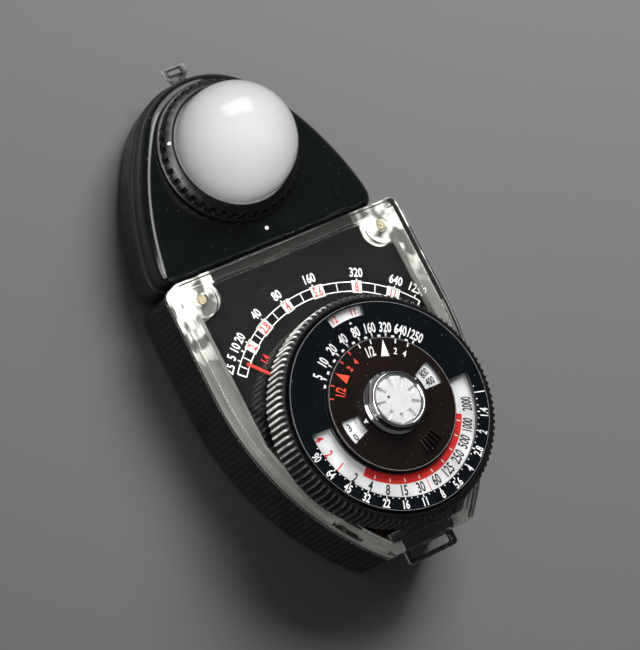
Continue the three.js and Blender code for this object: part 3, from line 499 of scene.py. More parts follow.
class Graph:
    """A material's node graph, with short calls for the nodes that the finishes share."""

    def __init__(self, name):
        self.material = bpy.data.materials.new(name)
        self.material.use_nodes = True
        self.nodes = self.material.node_tree.nodes
        self.links = self.material.node_tree.links
        self.shader = self.nodes["Principled BSDF"]
        self.output = self.nodes["Material Output"]
        self.place = self.nodes.new("ShaderNodeTexCoord").outputs["Object"]

    def feed(self, socket, value):
        """Links a socket to another one, or sets its value."""
        if isinstance(value, bpy.types.NodeSocket):
            self.links.new(value, socket)
        elif socket.type == "RGBA":
            socket.default_value = (*value, 1)
        else:
            socket.default_value = value

    def add(self, kind, settings=None, inputs=None):
        node = self.nodes.new(kind)
        for key, value in (settings or {}).items():
            setattr(node, key, value)
        for key, value in (inputs or {}).items():
            self.feed(node.inputs[key], value)
        return node

    def stretched(self, scale):
        return self.add("ShaderNodeMapping", {}, {"Vector": self.place, "Scale": scale}).outputs[0]

    def noise(self, size, detail=3.0, vector=None):
        """Noise between 0 and 1 whose grains are about size millimetres across."""
        inputs = {"Vector": vector or self.place, "Scale": 1 / (size * MM), "Detail": detail}
        return self.add("ShaderNodeTexNoise", {}, inputs).outputs["Fac"]

    def specks(self, size, radius):
        """1 inside scattered small spots and 0 elsewhere."""
        cells = self.add(
            "ShaderNodeTexVoronoi", {}, {"Vector": self.place, "Scale": 1 / (size * MM)}
        )
        near = self.ranged(cells.outputs["Distance"], radius, radius * 0.6)
        chosen = self.add("ShaderNodeSeparateColor", {}, {0: cells.outputs["Color"]}).outputs[0]
        return self.times(near, self.ranged(chosen, 0.55, 0.6))

    def ranged(self, value, low, high, to_low=0.0, to_high=1.0):
        inputs = {0: value, 1: low, 2: high, 3: to_low, 4: to_high}
        return self.add("ShaderNodeMapRange", {"clamp": True}, inputs).outputs[0]

    def times(self, a, b):
        return self.add("ShaderNodeMath", {"operation": "MULTIPLY"}, {0: a, 1: b}).outputs[0]

    def blend(self, share, first, second):
        """A colour between two, each a socket or a tuple."""
        node = self.add("ShaderNodeMix", {"data_type": "RGBA"}, {0: share, 6: first, 7: second})
        return node.outputs[2]

    def between(self, share, first, second):
        """A number between two, each a socket or a number."""
        node = self.add("ShaderNodeMix", {"data_type": "FLOAT"}, {0: share, 2: first, 3: second})
        return node.outputs[0]

    def edges(self, high=0.6):
        """Convex edges, broken up in patches."""
        pointed = self.add("ShaderNodeNewGeometry").outputs["Pointiness"]
        sharp = self.ranged(pointed, 0.52, high)
        return self.times(sharp, self.ranged(self.noise(1.5), 0.35, 0.6, 0.15, 1.0))

    def bump(self, height, depth, below=None):
        """A normal from a height between 0 and 1 that is depth millimetres deep."""
        inputs = {"Height": height, "Distance": depth * MM, "Strength": 1.0}
        if below is not None:
            inputs["Normal"] = below
        return self.add("ShaderNodeBump", {}, inputs).outputs["Normal"]

    def set(self, **values):
        names = {
            "colour": "Base Color",
            "rough": "Roughness",
            "metal": "Metallic",
            "normal": "Normal",
            "coat": "Coat Weight",
            "coat_rough": "Coat Roughness",
            "glass": "Transmission Weight",
            "ior": "IOR",
            "inside": "Subsurface Weight",
            "inside_scale": "Subsurface Scale",
            "inside_reach": "Subsurface Radius",
            "gleam": "Specular IOR Level",
        }
        for key, value in values.items():
            self.feed(self.shader.inputs[names[key]], value)


def scaled(colour, factor):
    return tuple(c * factor for c in colour)


def plastic(name, colour, rough, grain=0.25, depth=0.01, worn=None, dust=0.0, gleam=0.5):
    """Moulded plastic or paint: fine grain, patchy gloss, pale edges that are partly wear and
    partly a painted edge highlight, and dust.
    """
    g = Graph(name)
    patches = g.ranged(g.noise(6.0, 4.0), 0.3, 0.7)
    tone = g.blend(patches, scaled(colour, 0.8), scaled(colour, 1.25))
    gloss = g.ranged(g.noise(1.2, 5.0), 0.3, 0.7, rough * 0.82, min(rough * 1.2, 1.0))
    if worn:
        edge_wear_and_highlight_mask = g.edges()
        tone = g.blend(edge_wear_and_highlight_mask, tone, worn)
    if dust:
        spots = g.times(g.specks(1.1, 0.13), g.ranged(g.noise(9.0, 2.0), 0.4, 0.7, 0.1, 1.0))
        tone = g.blend(g.times(spots, dust), tone, (0.5, 0.5, 0.47))
        gloss = g.between(spots, gloss, 0.7)
    g.set(colour=tone, rough=gloss, normal=g.bump(g.noise(grain, 3.0), depth), gleam=gleam)
    return g.material


def metal(name, colour, rough, brushed=False, depth=0.004):
    """Metal with fine streaks or grain, smudges and slightly darker patches."""
    g = Graph(name)
    along = g.stretched((1.0, 12.0, 1.0)) if brushed else g.place
    streaks = g.noise(0.35, 4.0, along)
    patches = g.ranged(g.noise(3.5, 4.0), 0.3, 0.75)
    tone = g.blend(patches, scaled(colour, 0.75), colour)
    smudge = g.ranged(g.noise(1.6, 5.0), 0.35, 0.7, rough * 0.75, rough * 1.45)
    g.set(colour=tone, rough=smudge, metal=1.0, normal=g.bump(streaks, depth))
    return g.material


def clear_plastic(name, colour):
    """Thick clear acrylic that lets light through to what lies under it."""
    g = Graph(name)
    waves = g.bump(g.noise(7.0, 1.0), 0.03)
    scuffs = g.ranged(g.noise(0.6, 6.0), 0.45, 0.8, 0.01, 0.07)
    tint = g.blend(g.noise(12.0, 2.0), scaled(colour, 0.97), colour)
    g.set(colour=tint, rough=scuffs, glass=1.0, ior=1.49, normal=waves)
    passing = g.add("ShaderNodeBsdfTransparent", {}, {"Color": scaled(colour, 0.94)})
    shadow = g.add("ShaderNodeLightPath").outputs["Is Shadow Ray"]
    mix = g.add("ShaderNodeMixShader", {}, {0: shadow})
    g.links.new(g.shader.outputs[0], mix.inputs[1])
    g.links.new(passing.outputs[0], mix.inputs[2])
    g.links.new(mix.outputs[0], g.output.inputs["Surface"])
    return g.material


def opal_plastic(name):
    """Glossy opal white that scatters light inside."""
    g = Graph(name)
    tone = g.blend(g.noise(9.0, 2.0), (0.88, 0.88, 0.87), (0.93, 0.93, 0.925))
    g.set(colour=tone, rough=g.ranged(g.noise(2.0, 5.0), 0.3, 0.7, 0.03, 0.05), inside=1.0)
    g.set(inside_scale=0.004, inside_reach=(1.0, 1.0, 1.0), normal=g.bump(g.noise(5.0, 2.0), 0.003))
    return g.material


def speckled_metal(name, colour, rough):
    """Satin plated metal with a fine pitted grain."""
    g = Graph(name)
    pits = g.noise(0.12, 2.0)
    tone = g.blend(g.ranged(pits, 0.35, 0.65), scaled(colour, 0.7), colour)
    rim = g.edges(0.62)
    tone = g.blend(rim, tone, (0.85, 0.85, 0.85))
    g.set(colour=tone, rough=g.ranged(g.noise(0.5), 0.3, 0.7, rough * 0.8, rough * 1.2))
    g.set(metal=0.2, normal=g.bump(pits, 0.012))
    return g.material


def seal_with_painted_reflections(name):
    """A pressed strip: plain grey along the flanks, and pale and dark patches under the thick clear
    corners, painted as the corners' reflections.
    """
    g = Graph(name)
    patches = g.ranged(g.noise(3.6, 1.0), 0.44, 0.58)
    corner = g.blend(patches, (0.09, 0.09, 0.085), (0.95, 0.95, 0.9))
    flank = g.blend(g.noise(14.0), (0.13, 0.13, 0.125), (0.23, 0.23, 0.22))
    along = g.add("ShaderNodeSeparateXYZ", {}, {0: g.place}).outputs["Y"]
    # near_top picks the top corners, where the pale and dark patches are painted reflections of the
    # thick clear plastic above them.
    near_top = g.ranged(along, 0.022, 0.03)
    g.set(colour=g.blend(near_top, flank, corner), rough=g.between(patches, 0.3, 0.5))
    g.set(normal=g.bump(g.noise(4.0), 0.1))
    return g.material


def worn_knurl(name):
    """Black paint over bright metal that shows faintly on every crest as wear, with much brighter
    crests on the upper left as a painted highlight where the light falls.
    """
    g = Graph(name)
    tops = g.add("ShaderNodeAttribute", {"attribute_name": "crest"}).outputs["Fac"]
    crest = g.times(g.ranged(tops, 0.45, 0.9), g.ranged(g.noise(2.2), 0.35, 0.6, 0.2, 1.0))
    # side and height pick the ring's upper left, where the bright crests are a painted highlight;
    # elsewhere the crests get only the faint pale wear.
    across = g.add("ShaderNodeSeparateXYZ", {}, {0: g.place})
    side = g.ranged(across.outputs["X"], 0.0, -0.008)
    height = g.ranged(across.outputs["Y"], -0.003, 0.006)
    worn_and_lit_crests = g.times(crest, g.ranged(g.times(side, height), 0.0, 1.0, 0.04, 1.0))
    tone = g.blend(worn_and_lit_crests, (0.005, 0.005, 0.0055), (0.85, 0.84, 0.8))
    g.set(colour=tone, rough=g.between(worn_and_lit_crests, 0.38, 0.2), metal=g.between(worn_and_lit_crests, 0.0, 0.3))
    g.set(normal=g.bump(g.noise(0.3), 0.015), gleam=0.25)
    return g.material


MATERIALS = {}


def finish(make, name, *values, **settings):
    MATERIALS[name] = make(name, *values, **settings)


finish(plastic, "case_black", (0.0125, 0.0122, 0.0112), 0.4, gleam=0.4)
finish(plastic, "head_front_black", (0.0042, 0.0056, 0.0058), 0.12, 0.9, 0.003, dust=0.25)
finish(plastic, "ring_black", (0.006, 0.006, 0.0068), 0.3, 0.2, 0.008)
finish(opal_plastic, "opal")
finish(clear_plastic, "clear", (0.975, 0.975, 0.955))
finish(plastic, "scale_black", (0.004, 0.0036, 0.004), 0.6, 0.15, 0.004, dust=0.03, gleam=0.1)
finish(plastic, "pointer_red", (0.75, 0.025, 0.015), 0.4, 0.3, 0.004)
finish(worn_knurl, "knurl_black")
finish(plastic, "dial_gloss_black", (0.003, 0.0042, 0.0065), 0.1, 1.0, 0.002, dust=0.55)
finish(plastic, "disc_white", (0.8, 0.81, 0.81), 0.42, 0.2, 0.004)
finish(plastic, "disc_brown", (0.0095, 0.006, 0.0052), 0.2, 0.6, 0.003, dust=0.2)
finish(metal, "chrome", (0.78, 0.79, 0.82), 0.1)
# The bail's pale edges are partly worn paint and partly a painted edge highlight.
finish(plastic, "bail_steel", (0.008, 0.008, 0.0085), 0.22, 0.3, 0.004, worn=(0.55, 0.55, 0.57))
finish(metal, "steel", (0.5, 0.5, 0.52), 0.32, brushed=True)
finish(metal, "brass", (0.66, 0.57, 0.4), 0.28, brushed=True)
finish(metal, "magnet_grey", (0.16, 0.16, 0.17), 0.5, depth=0.01)
finish(metal, "copper_coil", (0.62, 0.26, 0.13), 0.35)
finish(plastic, "board", (0.14, 0.06, 0.025), 0.6, 0.3, 0.01)
finish(plastic, "cell", (0.03, 0.025, 0.05), 0.25, 0.4, 0.004)
finish(plastic, "jewel", (0.3, 0.01, 0.03), 0.1, 0.4, 0.002)
finish(plastic, "lead_red", (0.45, 0.02, 0.02), 0.5, 0.3, 0.006)
finish(plastic, "lead_black", (0.012, 0.012, 0.012), 0.5, 0.3, 0.006)
finish(plastic, "frosted_clear", (0.24, 0.24, 0.23), 0.4, 0.4, 0.02)
finish(speckled_metal, "cap_silver", (0.9, 0.9, 0.89), 0.42)
finish(seal_with_painted_reflections, "gasket_grey")

# Each ink's slot, colour and roughness
INKS = {
    "white": ("disc_white", (0.9, 0.9, 0.89), 0.5),
    "red": ("pointer_red", (0.68, 0.018, 0.016), 0.5),
    "orange": ("pointer_red", (0.8, 0.07, 0.03), 0.5),
    "grey": ("disc_white", (0.3, 0.3, 0.3), 0.4),
    "black": ("scale_black", (0.012, 0.012, 0.014), 0.5),
}
for ink_name, (_, ink_colour, ink_rough) in INKS.items():
    finish(plastic, "ink_" + ink_name, ink_colour, ink_rough, 0.15, 0.004)


# ---------------------------------------------------------------- print

GLYPHS = {}


def flat_text(words):
    """A line of figures as a thin solid: one high, centred on the origin."""
    if words in GLYPHS:
        return GLYPHS[words]
    curve = bpy.data.curves.new("figures", "FONT")
    curve.body = words
    curve.offset = 0.02
    curve.resolution_u = 3
    curve.align_x = "CENTER"
    made = placed("figures", curve)
    mesh = evaluated(made)
    verts = [tuple(v.co) for v in mesh.vertices]
    faces = [tuple(p.vertices) for p in mesh.polygons]
    bpy.data.objects.remove(made)
    middle = (min(v[0] for v in verts) + max(v[0] for v in verts)) / 2
    verts = [((x - middle) / DIGIT_HEIGHT, y / DIGIT_HEIGHT - 0.5, 0.0) for x, y, _ in verts]
    GLYPHS[words] = thickened(verts, faces)
    return GLYPHS[words]


def thickened(verts, faces):
    """A flat sheet of faces made into a closed sheet from height 0 to 1."""
    count = len(verts)
    sides = {}
    for face in faces:
        for a, b in zip(face, face[1:] + face[:1]):
            if (b, a) in sides:
                del sides[(b, a)]
            else:
                sides[(a, b)] = True
    both = [(x, y, 0.0) for x, y, _ in verts] + [(x, y, 1.0) for x, y, _ in verts]
    shell = [tuple(reversed(face)) for face in faces]
    shell += [tuple(i + count for i in face) for face in faces]
    shell += [(a, b, b + count, a + count) for a, b in sides]
    return both, shell


class Print:
    """Print on a flat surface, collected by colour and added as one piece per colour."""

    def __init__(self, name, height, body):
        self.name = name
        self.low = height - PRINT_SUNK
        self.high = height + PRINT_THICKNESS
        self.body = body
        self.shapes = {}

    def put(self, colour, shape):
        self.shapes.setdefault(colour, []).append(shape)

    def area(self, colour, outline, lift=0.0):
        self.put(colour, slab(outline, [], self.low + lift, self.high + lift))

    def line(self, colour, radius, width, start, end):
        self.area(colour, sector(radius - width / 2, radius + width / 2, start, end, 1.5))

    def tick(self, colour, inner, outer, angle, width, lift=0.0):
        out = Vector(turn(1, angle))
        across = Vector((-out.y, out.x)) * width / 2
        start = out * inner
        end = out * outer
        corners = [start - across, end - across, end + across, start + across]
        self.area(colour, [tuple(c) for c in corners], lift)

    def triangle(self, colour, base, tip, angle, width):
        out = Vector(turn(1, angle))
        across = Vector((-out.y, out.x)) * width / 2
        corners = [out * base - across, out * tip, out * base + across]
        self.area(colour, [tuple(c) for c in (corners if tip > base else corners[::-1])])

    def figures(self, colour, words, radius, angle, height, squeeze, outward=True, lift=0.0,
                twist=0.0):
        """Figures at a radius and angle, their tops away from the axis or towards it."""
        place = turn(radius, angle)
        facing = angle - 90 if outward else angle + 90
        verts, faces = flat_text(words)
        sized = Matrix.Diagonal((height * squeeze, height, self.high - self.low, 1))
        rotated = Matrix.Rotation(math.radians(facing + twist), 4, "Z")
        shifted = Matrix.Translation((*place, self.low + lift))
        self.put(colour, moved((verts, faces), shifted @ rotated @ sized))

    def add(self):
        for colour, shapes in self.shapes.items():
            add_piece(f"{self.name}_{colour}", merged(shapes), self.body, INKS[colour][0],
                      material="ink_" + colour)


def add_mark(name, body, ink, radius, place, low, high):
    """A small painted spot."""
    add_piece(name, rod(radius, low, high, place, 20), body, INKS[ink][0], material="ink_" + ink)


# ---------------------------------------------------------------- lower body

def ribbed(outline, levels, where=lambda point: 1.0):
    """A solid with upright ribs up its wall; levels are (inset, rib share, height)."""
    count = round(perimeter(outline) / RIB_PITCH) * RIB_POINTS
    loop = spaced(outline, count)
    sides = inward(loop)
    rows = []
    for shift, share, height in levels:
        row = []
        for i, (point, side) in enumerate(zip(loop, sides)):
            groove = 1 - abs(math.sin(math.pi * (i / RIB_POINTS + 0.5)))
            reach = shift + RIB_DEPTH * share * groove * where(point)
            row.append((point[0] + side.x * reach, point[1] + side.y * reach))
        rows.append(([row], height))
    return walled(rows)


def add_lower_case():
    top = CASE_HIGH
    levels = [
        (1.55, 0, CASE_LOW), (1.0, 0, CASE_LOW + 0.12), (0.5, 0, CASE_LOW + 0.5),
        (0.25, 0, CASE_LOW + 1.1), (0.2, 0, CASE_LOW + 1.7), (0.2, 1, CASE_LOW + 2.1),
        (0.05, 1, top - 0.75), (0.02, 0, top - 0.55), (0.0, 0, top - 0.15), (0.12, 0, top),
    ]
    steps = cuts(slab(body_outline(CASE_INSET + CASE_WALL), [], CASE_FLOOR, top + 1))
    for place in SCREWS:
        steps += joins(rod(LOW_BOSS, CASE_FLOOR - 0.5, top - 0.02, place, 40))
    for place in SCREWS:
        steps += cuts(rod(SCREW_HEAD, -1, 1.7, place, 40), rod(SCREW_HOLE, 1, top + 1, place, 24))
    steps += cuts(rod(ZERO_HOLE, -1, CASE_FLOOR + 1, ZERO_HOLE_PLACE, 40), swivel_bore(36, 48))
    mesh = carved("case_shell", ribbed(body_outline(CASE_INSET), levels), steps)
    add_piece("case_shell", mesh, "body", "case_black", ["lower_case"])


def swivel_bore(start, end):
    """The head swivel's bore along Y, from one y to another."""
    bore = rod(SWIVEL_RADIUS, -end, -start, (0, SWIVEL_Z), 48)
    return moved(bore, Matrix.Rotation(math.pi / 2, 4, "X"))


def cavity_outline(shift=0.0):
    half = COVER_CAVITY_HALF - shift
    loop = body_outline(COVER_WALL + shift)
    return [(max(-half, min(half, x)), y) for x, y in loop]


def distinct(loop):
    """An outline without repeated points or points on a straight run."""
    kept = []
    for i, point in enumerate(loop):
        before = loop[i - 1]
        after = loop[(i + 1) % len(loop)]
        if math.dist(point, before) < 1e-4:
            continue
        upright = abs(point[0] - before[0]) < 1e-6 and abs(point[0] - after[0]) < 1e-6
        if not upright:
            kept.append(point)
    return kept


def add_clear_cover():
    top = COVER_HIGH
    outline = body_outline(0)
    profile = [
        (0.15, COVER_LOW), (0.0, COVER_LOW + 0.15), (0.0, top - 0.7), (0.09, top - 0.35),
        (0.35, top - 0.09), (0.7, top), (1.9, top), (2.05, top - 0.05), (2.2, top - 0.2),
    ]
    shell = walled([([inset(outline, shift)], height) for shift, height in profile])
    cavity = slab(distinct(cavity_outline()), [], COVER_LOW - 1, top - COVER_PLATE)
    bosses = [rod(TOP_BOSS, COVER_LOW - 2, top, place, 64) for place in TOP_SCREWS]
    bosses += [rod(LOW_BOSS, COVER_LOW - 2, top, place, 64) for place in LOW_SCREWS]
    hollow = carved("cover_hollow", cavity, cuts(*bosses))
    holes = [rod(SCREW_HOLE, 10, 19.1, place, 32) for place in SCREWS]
    steps = cuts(shape_of(hollow), rod(COVER_HOLE, 10, 30, steps=96), *holes, block(*COVER_NOTCH))
    mesh = carved("cover_shell", shell, steps)
    piece = add_piece("cover_shell", mesh, "body", "clear", ["clear_cover"], True)
    piece.data.materials.append(MATERIALS["frosted_clear"])
    for face in piece.data.polygons:
        if is_frosted(face):
            face.material_index = 1


def is_frosted(face):
    """The cover's matt faces: its seat on the case and the walls of its cavity along the flanks."""
    x, y, z = face.center / MM
    under_top_edge = y > 35 and abs(x) < 19
    seat = z < COVER_LOW + 0.05 and face.normal.z < -0.9
    depth = abs(x) > 19 or y < 0
    inner_wall = abs(face.normal.z) < 0.1 and depth and is_cavity_side(x, y, face.normal)
    return (seat or inner_wall) and not under_top_edge


def is_cavity_side(x, y, normal):
    """True for an upright face that looks into the cavity rather than out of the cover."""
    looks_in = normal.x * x + normal.y * (y - 10) < 0
    in_boss = min(math.dist((x, y), place) for place in SCREWS) < TOP_BOSS + 0.1
    return looks_in and not in_boss and math.hypot(x, y) > COVER_HOLE + 1


def shape_of(mesh):
    """A made mesh as a shape in millimetres."""
    verts = [tuple(v.co / MM) for v in mesh.vertices]
    return verts, [tuple(p.vertices) for p in mesh.polygons]


def add_gasket():
    """The pale sealing strip between the case's rim and the cover, with painted reflections under
    the clear top corners.
    """
    low, high = CASE_HIGH + 0.03, COVER_LOW - 0.03
    strip = slab(body_outline(0.5), [distinct(cavity_outline(-0.05))], low, high)
    steps = joins(*[rod(TOP_BOSS - 0.1, low, high, place) for place in TOP_SCREWS])
    steps += cuts(*[rod(SEAL_HOLE, low - 1, high + 1, place, 24) for place in SCREWS])
    steps += cuts(block((-18, 30, low - 1), (18, 45, high + 1)))
    mesh = carved("cover_gasket", strip, steps)
    add_piece("cover_gasket", mesh, "body", "case_black", material="gasket_grey")


def plate_outline():
    """The scale plate: round cut-outs for the top bosses and cut lower corners."""
    half = [(PLATE_HALF - 4, PLATE_LOW_Y), (PLATE_HALF, PLATE_LOW_Y + 4)]
    centre = TOP_SCREWS[1]
    low = math.degrees(math.acos((PLATE_HALF - centre[0]) / PLATE_BOSS_CUT))
    high = math.degrees(math.asin((PLATE_TOP_Y - centre[1]) / PLATE_BOSS_CUT))
    half += arc(PLATE_BOSS_CUT, -low, -(180 + high), 24, centre)
    return mirrored(half)


def add_scale_plate():
    plate = slab(plate_outline(), [], PLATE_LOW, PLATE_HIGH, 0.1, 0.15)
    mesh = carved("dial_plate", plate, cuts(rod(PLATE_HOLE, 10, 30, steps=128)))
    add_piece("dial_plate", mesh, "body", "scale_black", ["scale_plate"])


def bail_outline():
    half = [(0, -30.9), (5.4, -30.9)]
    half += arc(0.9, -90, 0, 6, (5.4, -30.0))[1:]
    half += [(6.3, -27.4)]
    half += bent((6.3, -27.4), (6.35, -25.2), (7.9, -24.7), 8)
    half += [(7.9, -23.2)]
    return half + [(-x, y) for x, y in reversed(half[1:])]


def add_strap_bail():
    slot = rounded_rectangle((-4.9, -29.85), (4.9, -28.1), 0.5)
    shape = slab(bail_outline(), [slot], BAIL_LOW, BAIL_HIGH, 0.18, 0.22)
    add_piece("bail_loop", shape, "body", "bail_steel", ["strap_bail"], True)


# ---------------------------------------------------------------- dial

def add_knurled_ring():
    dips = [0.0, 0.12, 0.6, 0.95, 1.0, 0.95, 0.6, 0.12]
    low, high = KNURL_LOW, KNURL_HIGH
    profile = [
        (24.15, 0, low), (24.45, 0.6, low + 0.3), (24.5, 1, low + 0.7), (24.5, 1, high - 1.7),
        (24.42, 1, high - 1.2), (24.2, 0.9, high - 0.75), (23.8, 0.6, high - 0.35),
        (23.4, 0.0, high - 0.08), (23.1, 0, high), (22.8, 0, high - 0.1), (22.8, 0, 26.3),
        (19.5, 0, 26.3), (19.5, 0, 25.3), (22.8, 0, 25.3), (22.8, 0, low),
    ]
    shape = toothed([(r, KNURL_DEPTH * share, z) for r, share, z in profile], dips, KNURL_TEETH)
    piece = add_piece("knurl_ring", shape, "dial", "knurl_black", ["knurled_dial"])
    crest = piece.data.attributes.new("crest", "FLOAT", "POINT")
    values = [share * (1 - dip) for _, share, _ in profile for dip in dips * KNURL_TEETH]
    crest.data.foreach_set("value", values)
    return piece


def add_exposure_disc():
    holes = [circle(DISC_HOLE), sector(*SHUTTER_WINDOW), sector(*EV_WINDOW)]
    top = slab(circle(DISC_RADIUS, steps=192), holes, EXPOSURE_HIGH - DISC_THICKNESS,
               EXPOSURE_HIGH, 0.1, 0.12)
    places = [turn(POST_CIRCLE, angle) for angle in POST_ANGLES]
    posts = [rod(POST_RADIUS, EXPOSURE_LOW, EXPOSURE_HIGH - 0.85, place, 24) for place in places]
    add_piece("exposure_face", merged([top] + posts), "body", "dial_gloss_black",
              ["exposure_disc"], True)


def add_shutter_disc():
    shape = slab(circle(21.9, steps=160), [circle(DISC_HOLE)], SHUTTER_HIGH - DISC_THICKNESS,
                 SHUTTER_HIGH, 0.05, 0.08)
    add_piece("shutter_face", shape, "dial", "disc_white", ["shutter_disc"])


def add_film_disc():
    holes = [sector(*window) for window in FILM_WINDOWS] + [circle(FILM_SLEEVE, steps=64)]
    disc = slab(circle(FILM_RADIUS, steps=160), holes, FILM_LOW, FILM_HIGH, 0.06, 0.12)
    top = FILM_LOW + 0.02
    sleeve = turned([(FILM_SLEEVE, 26), (6.1, 26), (6.1, top), (FILM_SLEEVE, top)], 64)
    bar = slab(rounded_rectangle((9.2, -0.2), (12.5, 0.2), 0.18, 4), [], FILM_HIGH - 0.1,
               FILM_HIGH + 0.65, 0.0, 0.15)
    bars = [spun(bar, GRIP_START + GRIP_PITCH * i) for i in range(GRIP_BARS)]
    add_piece("film_face", merged([disc, sleeve] + bars), "film_speed", "disc_brown",
              ["film_speed_disc"], True)


def add_collar():
    inner = 5.2
    low, high = COLLAR_LOW, COLLAR_HIGH
    profile = [
        (inner, low), (6.62, low), (6.7, low + 0.1), (6.68, low + 0.35), (6.5, low + 0.55),
        (6.25, low + 0.8), (6.08, low + 1.1), (6.0, low + 1.5), (6.0, high - 0.5),
        (5.96, high - 0.25), (5.84, high - 0.08), (5.65, high), (5.5, high - 0.02),
        (5.35, high - 0.15), (inner, high - 0.35),
    ]
    add_piece("collar_ring", turned(profile, 160), "body", "chrome", ["centre_collar"])


def add_cap():
    body = slab(circle(5.05, steps=120), [], CAP_LOW, CAP_HIGH, 0.1, 0.2)
    bar = block((2.9, -0.42, CAP_HIGH - 0.45), (6, 0.42, CAP_HIGH + 1))
    bars = [spun(bar, i * 360 / CAP_GROOVES + 12) for i in range(CAP_GROOVES)]
    mesh = carved("cap_top", body, cuts(*bars))
    add_piece("cap_top", mesh, "release_cap", "chrome", ["button_cap"], True, "cap_silver")
    add_mark("cap_mark", "release_cap", "black", 0.28, (-1.9, 1.3), CAP_HIGH - 0.01,
             CAP_HIGH + 0.02)


def add_button_spring():
    """The coil under the release."""
    radius = 2.95
    wire = 0.24
    low, high = 24.6, 29.7
    coils = 4
    steps = 160
    sides = 10
    slope = (high - low) / (2 * math.pi * coils)
    rows = []
    for i in range(steps + 1):
        angle = 2 * math.pi * coils * i / steps
        out = Vector((math.cos(angle), math.sin(angle), 0))
        centre = out * radius + Vector((0, 0, low + slope * angle))
        ahead = Vector((-out.y * radius, out.x * radius, slope)).normalized()
        side = ahead.cross(out)
        row = []
        for k in range(sides):
            around = 2 * math.pi * k / sides
            row.append(tuple(centre + (out * math.cos(around) + side * math.sin(around)) * wire))
        if i == steps:
            rows += [row, [tuple(centre)]]
        else:
            rows += [row] if i else [[tuple(centre)], row]
    piece = add_piece("spring_coil", lofted(rows, False), "body", "steel", ["button_spring"])
    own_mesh(piece)


# ---------------------------------------------------------------- head

def slide_bore():
    return block((-13.4, 72.4, 9.7), (13.4, 86.4, 10.9))


def rib_share(point):
    """Ribs run up the lower part of the head's flanks and fade at both ends."""
    y = point[1]
    rise = max(0.0, min(1.0, (y - 46.0) / 0.6))
    fall = max(0.0, min(1.0, (68.5 - y) / 0.6))
    return rise * fall


def add_rear_shell():
    top = REAR_HIGH
    levels = [
        (2.3, 0, REAR_LOW), (1.7, 0, REAR_LOW + 0.12), (1.0, 0, REAR_LOW + 0.5),
        (0.45, 0, REAR_LOW + 1.1), (0.2, 0, REAR_LOW + 1.8), (0.15, 1, REAR_LOW + 2.2),
        (0.03, 1, top - 2.0), (0.0, 0, top - 1.75), (0.0, 0, top - 0.2), (0.15, 0, top),
    ]
    steps = cuts(slab(head_outline(HEAD_WALL), [], REAR_LOW + 1.8, 30))
    for place in HEAD_SCREWS:
        steps += joins(rod(HEAD_BOSS, REAR_LOW + 1, top - 0.3, place, 32))
    for place in HEAD_SCREWS:
        steps += cuts(rod(HEAD_SCREW_HEAD, -2, REAR_LOW + 1.3, place, 32),
                      rod(HEAD_SCREW_HOLE, 0, 20, place, 20))
    steps += cuts(swivel_bore(38, 50), slide_bore())
    shell = ribbed(head_outline(-HEAD_REAR_STEP), levels, rib_share)
    mesh = carved("head_back", shell, steps)
    add_piece("head_back", mesh, "head", "case_black", ["head_rear_shell"])


def add_front_shell():
    low, high = FRONT_LOW, FRONT_HIGH
    outline = head_outline(0)
    levels = [([inset(outline, 0.1)], low), ([outline], low + 0.1)]
    for i in range(9):
        angle = math.pi / 2 * i / 8
        shift = FRONT_ROUND * (1 - math.cos(angle))
        levels.append(([inset(outline, shift)], high - FRONT_DROP * (1 - math.sin(angle))))
    hollow = slab(head_outline(HEAD_WALL), [], low - 1, high - HEAD_WALL)
    opening = rod(HEAD_OPENING, low - 1, high + 1, (0, HEAD_Y), 128)
    steps = cuts(hollow, opening, swivel_bore(38, 50), slide_bore())
    mesh = carved("head_face", walled(levels), steps)
    add_piece("head_face", mesh, "head", "head_front_black", ["head_front_shell"], True)


def add_diffuser_ring():
    notches = 40
    dips = [1.0] * 3 + [0.0] * 5
    low, high = RING_LOW, RING_HIGH
    profile = [
        (16.0, 0, low), (16.1, 0, low + 0.1), (16.1, 0, low + 0.42), (16.0, 0, low + 0.52),
        (15.6, 0, low + 0.62), (15.6, 0.9, low + 0.72), (15.6, 0.9, low + 1.95),
        (15.3, 0.75, low + 2.35), (15.05, 0.0, low + 2.6), (13.95, 0, high - 0.05),
        (13.75, 0, high), (13.4, 0, high - 0.04), (13.3, 0, high - 0.2), (13.3, 0, 18.6),
        (14.2, 0, 18.6), (14.2, 0, low),
    ]
    shape = toothed(profile, dips, notches, (0, HEAD_Y))
    add_piece("dome_ring", shape, "diffuser", "ring_black", ["diffuser_ring"])
    place = turn(14.4, 159, (0, HEAD_Y))
    add_mark("ring_mark", "diffuser", "white", 0.4, place, high - 0.75, high - 0.1)


def add_dome():
    outer = 12.95
    wall = 1.2
    middle = 21.05
    flange = [(12.0, 17.5), (13.9, 17.5), (13.9, 18.3), (12.7, 18.3)]
    outside = arc(outer, -18, 90, 40, (0, middle))
    outside[-1] = (0.0, outside[-1][1])
    inside = arc(outer - wall, 90, -18, 40, (0, middle))
    inside[0] = (0.0, inside[0][1])
    profile = [p for p in inside if p[1] > 17.6] + flange + [p for p in outside if p[1] > 18.3]
    return add_piece("dome_shell", turned(profile, 160, (0, HEAD_Y)), "diffuser", "opal",
                     ["diffuser_dome"])


def add_head_mark():
    mark = slab(circle(0.45, (0, 46.0), 24), [], FRONT_HIGH - 0.005, FRONT_HIGH + 0.03)
    add_piece("head_mark", mark, "head", "disc_white", material="ink_white")


# ---------------------------------------------------------------- printed scales

